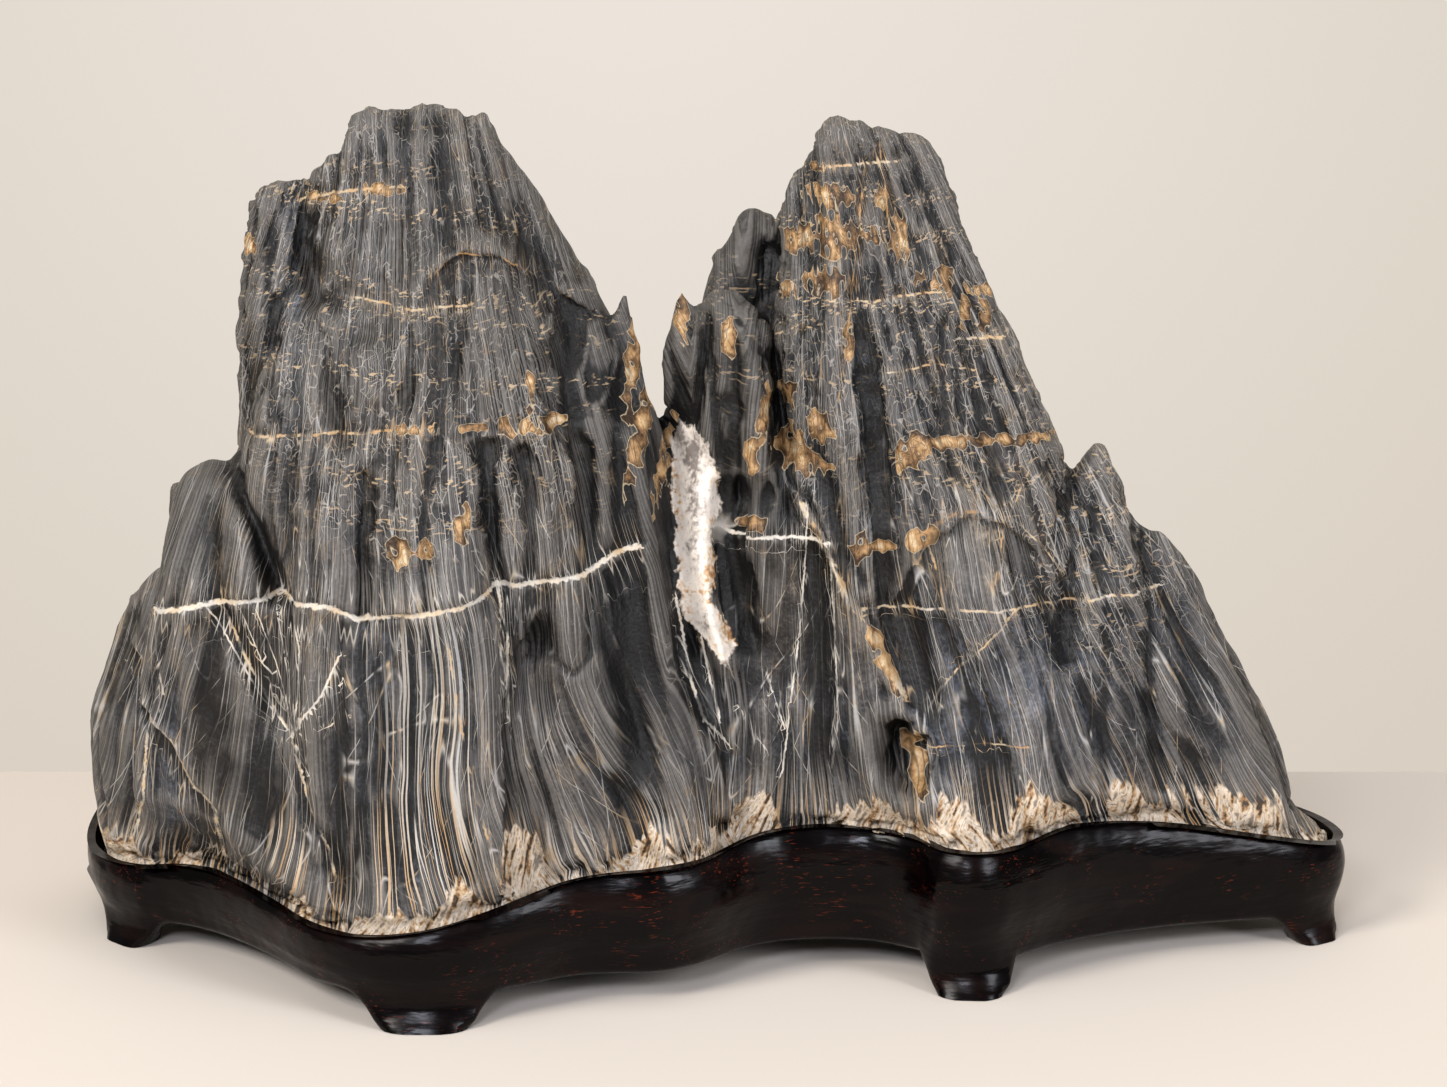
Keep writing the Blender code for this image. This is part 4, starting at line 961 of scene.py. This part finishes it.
def write_marks(stone):
    mesh = stone.data
    drawn = drawn_places(mesh)
    edges = read(mesh.edges, "vertices", 2, np.int32)
    normals = read(mesh.vertices, "normal", 3).astype(float)
    x, y, z = drawn.T
    front = (normals[:, 1] < 0.35) & (y < 40)

    def write(name, columns):
        layer = mesh.attributes.new(name, "FLOAT_VECTOR", "POINT")
        layer.data.foreach_set("vector", np.asarray(columns, np.float32).ravel())

    write("seams", vein_marks(x, z, front, SEAMS, BACK_SEAMS))
    write("left_veins", vein_marks(x, z, front, LEFT_LEANING, BACK_THREADS))
    write("right_veins", vein_marks(x, z, front, RIGHT_LEANING, []))

    # how light each point is: partly its own tone, partly painted light and shade; the back gets half of it
    light = sum(blob(x, z, *row[:5]) * row[5] for row in TONES_AND_PAINTED_SHADE) * np.where(front, 1, 0.5)
    blue = 0.3 + sum(blob(x, z, *row[:5]) * row[6] for row in TONES_AND_PAINTED_SHADE)
    write("tones_and_painted_shade", np.stack([light, blue, patch_level(x, z, BARK)], axis=1))

    near_foot = z < 100
    above = np.full(x.shape, 99.0)
    above[near_foot] = z[near_foot] - rim_heights(x[near_foot] + DRAWN.x, y[near_foot] + DRAWN.y)
    front_climb, back_climb = (np.interp(x, *np.array(table, float).T) for table in (CRUST_FRONT, CRUST_BACK))
    climb = np.where(front, front_climb, back_climb)
    ochre = np.where(front, patch_level(x, z, OCHRE), patch_level(-x + 20, z + 9, OCHRE) * 0.9)
    write("growths", np.stack([np.clip(calcite_at(x, y, z), -9, 9), climb - above, ochre], axis=1))

    across, through, along = grain_of(x, y, z)
    sideways = side_share(relax(normals, edges, 0.5, 12))
    swell, cloud = np.zeros(x.shape), np.zeros(x.shape)
    for octave, share in ((1, 1.0), (2, 0.5), (4, 0.3)):
        read_across = across + sideways * (through - across)
        swell += share * noise_at(read_across * octave / 11, along * octave / 80, np.full(x.shape, 4.5 * octave))
        cloud += share * noise_at(x * octave / 8, y * octave / 8, z * octave / 8)
    swell, cloud = (0.5 + 0.09 * (pattern - pattern.mean()) / pattern.std() for pattern in (swell, cloud))
    write("lie", np.stack([sideways, swell, cloud], axis=1))
    write("grain", np.stack([across, through, along], axis=1))

    # how hollow each point is; from it the material paints shade in the hollows and a highlight on the ridges
    settled = relax(drawn, edges, 0.5, 10)
    sunk = relax(settled, edges, 0.5, 60)
    hollow = ((settled - drawn) * normals).sum(axis=1) + 0.45 * ((sunk - settled) * normals).sum(axis=1)
    stripes = np.where(front, patch_level(x, z, STRIPES), patch_level(-x, z, STRIPES))
    write("stripes_dust_and_hollows", np.stack([stripes, patch_level(x, z, DUST) * front, np.clip(hollow, -2, 2)], axis=1))


write_marks(stone)
print("marks written:", [a.name for a in stone.data.attributes if not a.name.startswith(".")])

# %% [markdown]
# ### Limestone, dry and etched
#
# The stone is dark carbonaceous limestone, dry and only brushed, so it scatters light softly and has
# almost no gloss. What the eye reads is its grain: crisp pale and dark lines, straight and hair-fine,
# on a smooth dark body. A noise that is drawn out a hundred times longer than it is wide gives such
# strands. The faces of the rock read it across the grain, and its sides read it through the grain.

# %% Read the stone's own numbers
rock_paint, rock, rock_shader = new_material("dry etched limestone")
lay = partial(node, rock)  # every node below is laid in the rock's own tree


def marks(name):
    """The three numbers that the skin carries under a name."""
    return lay("SeparateXYZ", (lay("Attribute", out=1, attribute_name=name),), out=None)


across, through, along = marks("grain")
light, blue, bark = marks("tones_and_painted_shade")
calcite_in, crust_in, ochre_in = marks("growths")
striped, dusty, hollow = marks("stripes_dust_and_hollows")
facing_side, wide, blotch = marks("lie")
millimetres = lay("Mapping", {"Vector": lay("TexCoord", out=3), "Scale": (1000, 1000, 1000)})
face = lay("CombineXYZ", (across, along))
flank = lay("CombineXYZ", (through, along))
on_flank = lay("GREATER_THAN", (facing_side, 0.5))
skin = lay("Mix", {0: on_flank, 4: face, 5: flank}, out=1, data_type="VECTOR")


def strands(width, length, detail=0.0, turn=0.0, shift=0.0, sheet=skin):
    """Noise as strands of a width and a length in mm, leaning by turn degrees."""
    place = {"Vector": sheet, "Location": (shift, shift, 0), "Rotation": (0, 0, math.radians(turn)),
             "Scale": (width, length, 1)}
    drawn_out = lay("Mapping", place, vector_type="TEXTURE")
    return lay("TexNoise", {"Vector": drawn_out, "Scale": 1, "Detail": detail}, noise_dimensions="2D")


# %% Lay the body colour
# hair-fine strands are 0.2 mm wide on the stone; they are drawn 0.7 mm wide, so that they show
fine = strands(0.6, 60, 1)
bands = strands(2.6, 130, 1)
speck = lay("TexNoise", {"Vector": millimetres, "Scale": 0.6, "Detail": 1})
# the body's level starts from those tones, painted light and shade among them
level = lay("MULTIPLY_ADD", (light, 0.24, -0.01))
for pattern, share in ((fine, 0.07), (bands, 0.06), (wide, 0.28), (blotch, 0.30), (speck, 0.24)):
    level = lay("MULTIPLY_ADD", (pattern, share, level))
LEVELS = (0.36, 0.47, 0.56, 0.64, 0.74)
brown_body, blue_body = (lay("ValToRGB", (level,), list(zip(LEVELS, shades))) for shades in (
    ("#0b0a09", "#272320", "#4a443d", "#7c7468", "#b9b0a0"), ("#090b0e", "#22262c", "#454b56", "#767d8a", "#b4b9c3")))
blue_share = lay("ADD", (lay("MULTIPLY_ADD", (wide, -2.6, 1.3)), blue), use_clamp=True)
colour = lay("Mix", {0: blue_share, 6: brown_body, 7: blue_body}, out=2, data_type="RGBA")
coats = []  # what lies over the body colour, from the bottom up: how much of it, and its colour
print("body colour laid")

# %% [markdown]
# ### Threads, grooves and dashes
#
# A smooth noise has long wandering contour lines. Keeping only a thin band of its values draws just
# those lines. Beside each pale line a dark one is kept at the next value, a painted shadow that makes
# the line look engraved. The same with the stretch turned across the grain gives short dashes where
# beds break off, and dark patches beside them are painted as the shadow of those broken steps.

# %% Engrave threads along the grain
THREADS = [  # width, length, lean in degrees, half band, shift, strength
    (4, 170, 0, 0.015, 3, 0.8), (7, 150, 4, 0.010, 21, 0.9), (7, 140, -5, 0.010, 37, 0.9),
    (14, 110, 20, 0.006, 71, 1.0), (14, 110, -22, 0.006, 83, 1.0),
]
faint = lay("MapRange", (bands, 0.44, 0.54, 0.1, 1.0))
pale_lines, shadow_lines_and_cracks = 0.0, 0.0
for width, length, lean, band, shift, strength in THREADS:
    pattern = strands(width, length, 0.0, lean, shift)
    pale = lay("ValToRGB", (pattern,), [(0.5 - band, 0.0), (0.5, strength), (0.5 + band, 0.0)])
    # the dark line just past each pale one is a painted shadow
    painted_shadow_line = lay("ValToRGB", (pattern,), [(0.5, 0.0), (0.5 + 1.2 * band, strength), (0.5 + 2.6 * band, 0.0)])
    pale_lines = lay("MAXIMUM", (pale_lines, pale))
    shadow_lines_and_cracks = lay("MAXIMUM", (shadow_lines_and_cracks, painted_shadow_line))
tufts = strands(15, 34, 0, 0, 41)
in_tufts = lay("MapRange", (tufts, 0.47, 0.58, 0.0, 0.9))
hairs = lay("MULTIPLY", (lay("MapRange", (fine, 0.63, 0.67, 0.0, 0.6)), in_tufts))
# pale lines fade where the tones paint shade
lit = lay("MapRange", (light, -0.6, 0.05, 0.05, 1.0))
pale_lines = lay("MULTIPLY", (lay("MAXIMUM", (pale_lines, hairs)), lay("MULTIPLY", (faint, lit))))
cracks = lay("ValToRGB", (strands(10, 170, 0.0, 2.0, 57),), [(0.475, 0.0), (0.5, 1.0), (0.525, 0.0)])
shadow_lines_and_cracks = lay("MAXIMUM", (shadow_lines_and_cracks, cracks))

# round the bark-like scales runs a net of short joints, warped by the same clouds as the colour
cell_place = lay("Mapping", {"Vector": skin, "Scale": (5, 15, 1)}, vector_type="TEXTURE")
warp = lay("CombineXYZ", (lay("MULTIPLY", (blotch, 6.0)), lay("MULTIPLY", (wide, 8.0))))
warped = lay("VectorMath ADD", (cell_place, warp))
net = lay("TexVoronoi", {"Vector": warped, "Scale": 1}, feature="DISTANCE_TO_EDGE", voronoi_dimensions="2D")
scaly = lay("MapRange", (bark, 0.0, 0.5, 0.12, 1.0))
joints = lay("MULTIPLY", (lay("ValToRGB", (net,), [(0.02, 0.0), (0.08, 1.0), (0.17, 0.0)]), scaly))
lit_scales = lay("MULTIPLY", (scaly, lit))
joint_edges = lay("MULTIPLY", (lay("MapRange", (net, 0.045, 0.01, 0.0, 1.0)), lit_scales))
print("threads engraved")

# %% Break the beds into dashes
dash_noise = strands(3.8, 1.0, 1, 6, 29)
tilted = lay("MULTIPLY_ADD", (across, 0.006, lay("MULTIPLY", (along, 0.15))))
bed = lay("MULTIPLY_ADD", (blotch, 2.2, tilted))
rows = lay("TexNoise", {"W": bed, "Scale": 1, "Detail": 0}, noise_dimensions="1D")
in_rows = lay("MULTIPLY", (lay("MapRange", (rows, 0.53, 0.68, 0.0, 1.0)), bark))
dashes = lay("MULTIPLY", (lay("MapRange", (dash_noise, 0.60, 0.65, 0.0, 1.0)), in_rows))
# dark patches beside the dashes, painted as the shadow of the broken steps
painted_step_shadows = lay("MULTIPLY", (lay("MapRange", (dash_noise, 0.42, 0.36, 0.0, 1.0)), in_rows))

pale_thread = lay("ValToRGB", (blotch,), [(0.42, "#cfcdca"), (0.52, "#e0d9cc"), (0.60, "#d3b891")])
# the dark lines beside the threads and the dark steps are painted shadow; the cracks and joints are dark in
# themselves
for share, strength, paint in ((shadow_lines_and_cracks, 0.9, "#080707"), (joints, 0.85, "#0a0909"), (painted_step_shadows, 0.8, "#0b0a0a"),
                               (joint_edges, 0.6, "#b5aea3"), (pale_lines, 0.75, None), (dashes, 0.7, "#c9ae88")):
    share = lay("MULTIPLY", (share, strength))
    coats.append((share, linear(paint) if paint else pale_thread))
print("threads and dashes drawn")

# %% [markdown]
# ### Dust, hollows and stripes
#
# Hollows are darkened with painted shade, and ridges made paler with a painted highlight; patches of dust
# are pale too. The striped column low on the west side is where calcite has filled many thin beds side by side.

# %% Paint shade in the hollows, dust and a painted highlight on the ridges, stripe the column
# painted shade: the hollows are darkened towards near black
painted_hollow_shade = lay("MapRange", (hollow, 0.03, 0.65, 0.0, 0.88))
coats.append((painted_hollow_shade, linear("#070606")))
# painted highlight: the ridges are made paler; the dust patches are pale in themselves
ridge = lay("MapRange", (hollow, -0.12, -0.85, 0.0, 0.6))
dust = lay("MULTIPLY", (dusty, lay("MapRange", (fine, 0.42, 0.60, 0.0, 0.8))))
painted_ridge_highlight = lay("MULTIPLY", (ridge, lay("MapRange", (fine, 0.40, 0.58, 0.4, 1.2))))
dust_and_ridge_highlight = lay("MAXIMUM", (dust, painted_ridge_highlight))
coats.append((lay("MULTIPLY", (dust_and_ridge_highlight, 0.36)), linear("#b0aaa2")))

thin_stripes = lay("MapRange", (strands(0.9, 260, 1, 0, 12), 0.595, 0.625, 0.0, 0.9))
bold_stripes = lay("ValToRGB", (strands(4.2, 320, 0, 1.5, 52),),
                   [(0.484, 0.0), (0.496, 1.0), (0.504, 1.0), (0.516, 0.0)])
at_foot = lay("MapRange", (crust_in, -16, 4, 0.0, 0.9))
in_column = lay("MAXIMUM", (lay("MapRange", (striped, 0.1, 0.6, 0.0, 1.0)), at_foot))
stripe_line = lay("MULTIPLY", (lay("MAXIMUM", (thin_stripes, bold_stripes)), in_column))
lower_down = lay("MapRange", (along, 140, 50, 0.45, 0.9))
stripe_colour = lay("ValToRGB", (lay("MULTIPLY_ADD", (along, -0.003, bands)),),
                    [(0.02, "#d5d4d2"), (0.20, "#ded4c4"), (0.42, "#cda97c")])
coats.append((lay("MULTIPLY", (stripe_line, lower_down)), stripe_colour))
print("striped and dusted")

# %% [markdown]
# ### Stains and veins
#
# The ochre stains are iron-rich skin that has not flaked off. Flakes left it in round bites, so what
# is left has hollow edges, and a pale rim is painted round them as a highlight. The veins are calcite
# in old cracks: a sharp pale thread whose sides fray into hairs along the grain.

# %% Stain with ochre
bite_place = lay("Mapping", {"Vector": skin, "Scale": (5.5, 6.5, 1)}, vector_type="TEXTURE")
bites = lay("TexVoronoi", {"Vector": bite_place, "Scale": 1}, feature="F1", voronoi_dimensions="2D")
swirls = strands(5, 9, 1, 20, 77)
torn = lay("MULTIPLY_ADD", (swirls, 0.6, -0.95))
bitten = lay("ADD", (lay("MULTIPLY_ADD", (bites, 1.5, torn)), ochre_in))
stain_level = lay("MINIMUM", (bitten, lay("MULTIPLY", (ochre_in, 1.8))))
stains = lay("MapRange", (stain_level, 0.50, 0.56, 0.0, 1.0))
stain_tone = lay("MULTIPLY_ADD", (stain_level, 0.25, -0.25))
for pattern, share in ((speck, 0.25), (blotch, 0.8)):
    stain_tone = lay("MULTIPLY_ADD", (pattern, share, stain_tone))
stain_colour = lay("ValToRGB", (stain_tone,),
                   [(0.36, "#3d2c1c"), (0.45, "#7d5e3c"), (0.54, "#b08a5c"), (0.63, "#cda878"), (0.72, "#e2cba6")])
coats.append((lay("MULTIPLY", (stains, 0.92)), stain_colour))
# a painted highlight round the edge of each stain
painted_highlight_rims = lay("ValToRGB", (stain_level,), [(0.47, 0.0), (0.53, 0.7), (0.60, 0.0)])
coats.append((painted_highlight_rims, linear("#dcc7a4")))
# the joints and dark lines run on through the stains, the painted shadow beside the threads among them
joints_and_shadow_lines_in_stains = lay("MULTIPLY", (lay("MULTIPLY", (lay("MAXIMUM", (joints, shadow_lines_and_cracks)), 0.75)), stains))
coats.append((joints_and_shadow_lines_in_stains, linear("#241810")))

# %% Draw the veins
hair = lay("ValToRGB", (strands(2.2, 26, 0, 3, 8),), [(0.46, 0.0), (0.5, 1.0), (0.54, 0.0)])
frayed = lay("MULTIPLY_ADD", (speck, 2.4, -1.2))
for name in ("seams", "left_veins", "right_veins"):
    side, near, tint = marks(name)
    off_line = lay("ABSOLUTE", (lay("ADD", (side, frayed)),))
    core = lay("MapRange", (off_line, 1.2, 0.5, 0.0, 1.0))
    thread = lay("MULTIPLY", (core, lay("MapRange", (near, 0.0, 0.25, 0.0, 1.0))))
    # white veins are whole, and tan ones are broken up
    white = lay("MapRange", (tint, 0.45, 0.3, 0.0, 1.0))
    whole = lay("MAXIMUM", (lay("MapRange", (swirls, 0.44, 0.52, 0.1, 1.0)), white))
    thread = lay("MULTIPLY", (thread, whole))
    whiskers = lay("MULTIPLY", (hair, near))
    fading = lay("MapRange", (blotch, 0.42, 0.58, 0.1 if name != "seams" else 0.7, 0.9))
    mark = lay("MAXIMUM", (lay("MULTIPLY", (thread, fading)), lay("MULTIPLY", (whiskers, 0.8))))
    vein_tone = lay("MULTIPLY_ADD", (blotch, 1.6, lay("ADD", (tint, -0.85))))
    vein_colour = lay("ValToRGB", (vein_tone,), [(0.1, "#ece5d8"), (0.5, "#d9c09a"), (0.9, "#b98f5e")])
    coats.append((lay("MULTIPLY", (mark, 0.95)), vein_colour))
print("stained and veined")

# %% [markdown]
# ### Calcite and crust
#
# In the cleft sits a seam of coarse white calcite, sugary where it broke, with amber iron stains along
# its edges. Round the foot the stone keeps a cream crust that licks up the ridges, with painted shade
# along the folds between its tufts.

# %% Fill the cleft with calcite and the foot with crust
ragged = lay("MULTIPLY_ADD", (swirls, 6.0, lay("MULTIPLY_ADD", (speck, 3.0, -3.9))))
calcite_edge = lay("ADD", (ragged, calcite_in))
calcite = lay("MapRange", (calcite_edge, -0.4, 0.9, 0.0, 1.0))
amber = lay("ValToRGB", (tufts,), [(0.47, 0.0), (0.5, 1.0), (0.53, 0.0)])
calcite_tone = 0.04
high_up = lay("MapRange", (along, 176, 198))
for pattern, share in ((blotch, 0.55), (speck, 0.25), (calcite_edge, 0.03), (high_up, 0.18), (amber, -0.05)):
    calcite_tone = lay("MULTIPLY_ADD", (pattern, share, calcite_tone))
calcite_colour = lay("ValToRGB", (calcite_tone,), [(0.36, "#a87b52"), (0.43, "#d8b892"), (0.49, "#ebdfd0"),
                                                   (0.58, "#eee5d9"), (0.65, "#d2c8bd"), (0.74, "#8a827b")])
coats.append((calcite, calcite_colour))

licks = strands(2.4, 26, 2, 0, 66)
torn_edge = lay("MULTIPLY_ADD", (licks, 20.0, lay("MULTIPLY_ADD", (tufts, 44.0, -34.0))))
crust_edge = lay("ADD", (torn_edge, crust_in))
crust = lay("MapRange", (crust_edge, -0.8, 1.6, 0.0, 1.0))
left_barbs, right_barbs = strands(1.7, 15, 1, 26, 15), strands(1.7, 15, 1, -22, 33)
feather = lay("Mix", {0: lay("MapRange", (tufts, 0.47, 0.53)), 2: left_barbs, 3: right_barbs})
crust_tone = lay("MULTIPLY_ADD", (feather, 0.7, lay("MULTIPLY", (speck, 0.3))))
crust_colour = lay("ValToRGB", (crust_tone,), [(0.33, "#3a2f25"), (0.39, "#9c7852"), (0.45, "#cfb28c"),
                                               (0.52, "#e9dccb"), (0.60, "#d9c3a5"), (0.68, "#8c8277")])
coats.append((lay("MULTIPLY", (crust, 0.9)), crust_colour))
# painted shade along the folds between the tufts, where the feathering turns from one lean to the other
painted_shade_between_tufts = lay("MULTIPLY", (lay("ValToRGB", (feather,), [(0.48, 0.0), (0.5, 0.7), (0.52, 0.0)]), crust))
coats.append((painted_shade_between_tufts, linear("#2e241b")))
print("calcite and crust grown")

# %% [markdown]
# ### Relief and gloss
#
# The coats are laid over the body colour, one after another. The strands and grains stand proud by
# tenths of a millimetre, so a height map in millimetres adds them up, and a bump node turns it into
# shade. The dry stone is rough, and the broken calcite a little glossier.

# %% Lay the coats and raise the relief
for share, paint in coats:
    colour = lay("Mix", {0: share, 6: colour, 7: paint}, out=2, data_type="RGBA")
height = lay("MULTIPLY_ADD", (speck, 0.35, lay("MULTIPLY", (bands, 0.4))))
relief = lay("Bump", {"Height": height, "Strength": 1.0, "Distance": 1 * MM})
rock.links.new(colour, rock_shader.inputs["Base Color"])
rock.links.new(relief, rock_shader.inputs["Normal"])
rock.links.new(lay("MapRange", (calcite, 0.0, 1.0, 0.56, 0.40)), rock_shader.inputs["Roughness"])
rock_shader.inputs["Specular IOR Level"].default_value = 0.35

stone.data.materials.clear()
stone.data.materials.append(rock_paint)
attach(stone, "root")
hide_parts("stone")
print(len(coats), "coats over the body colour,", len(rock.nodes), "nodes in all")
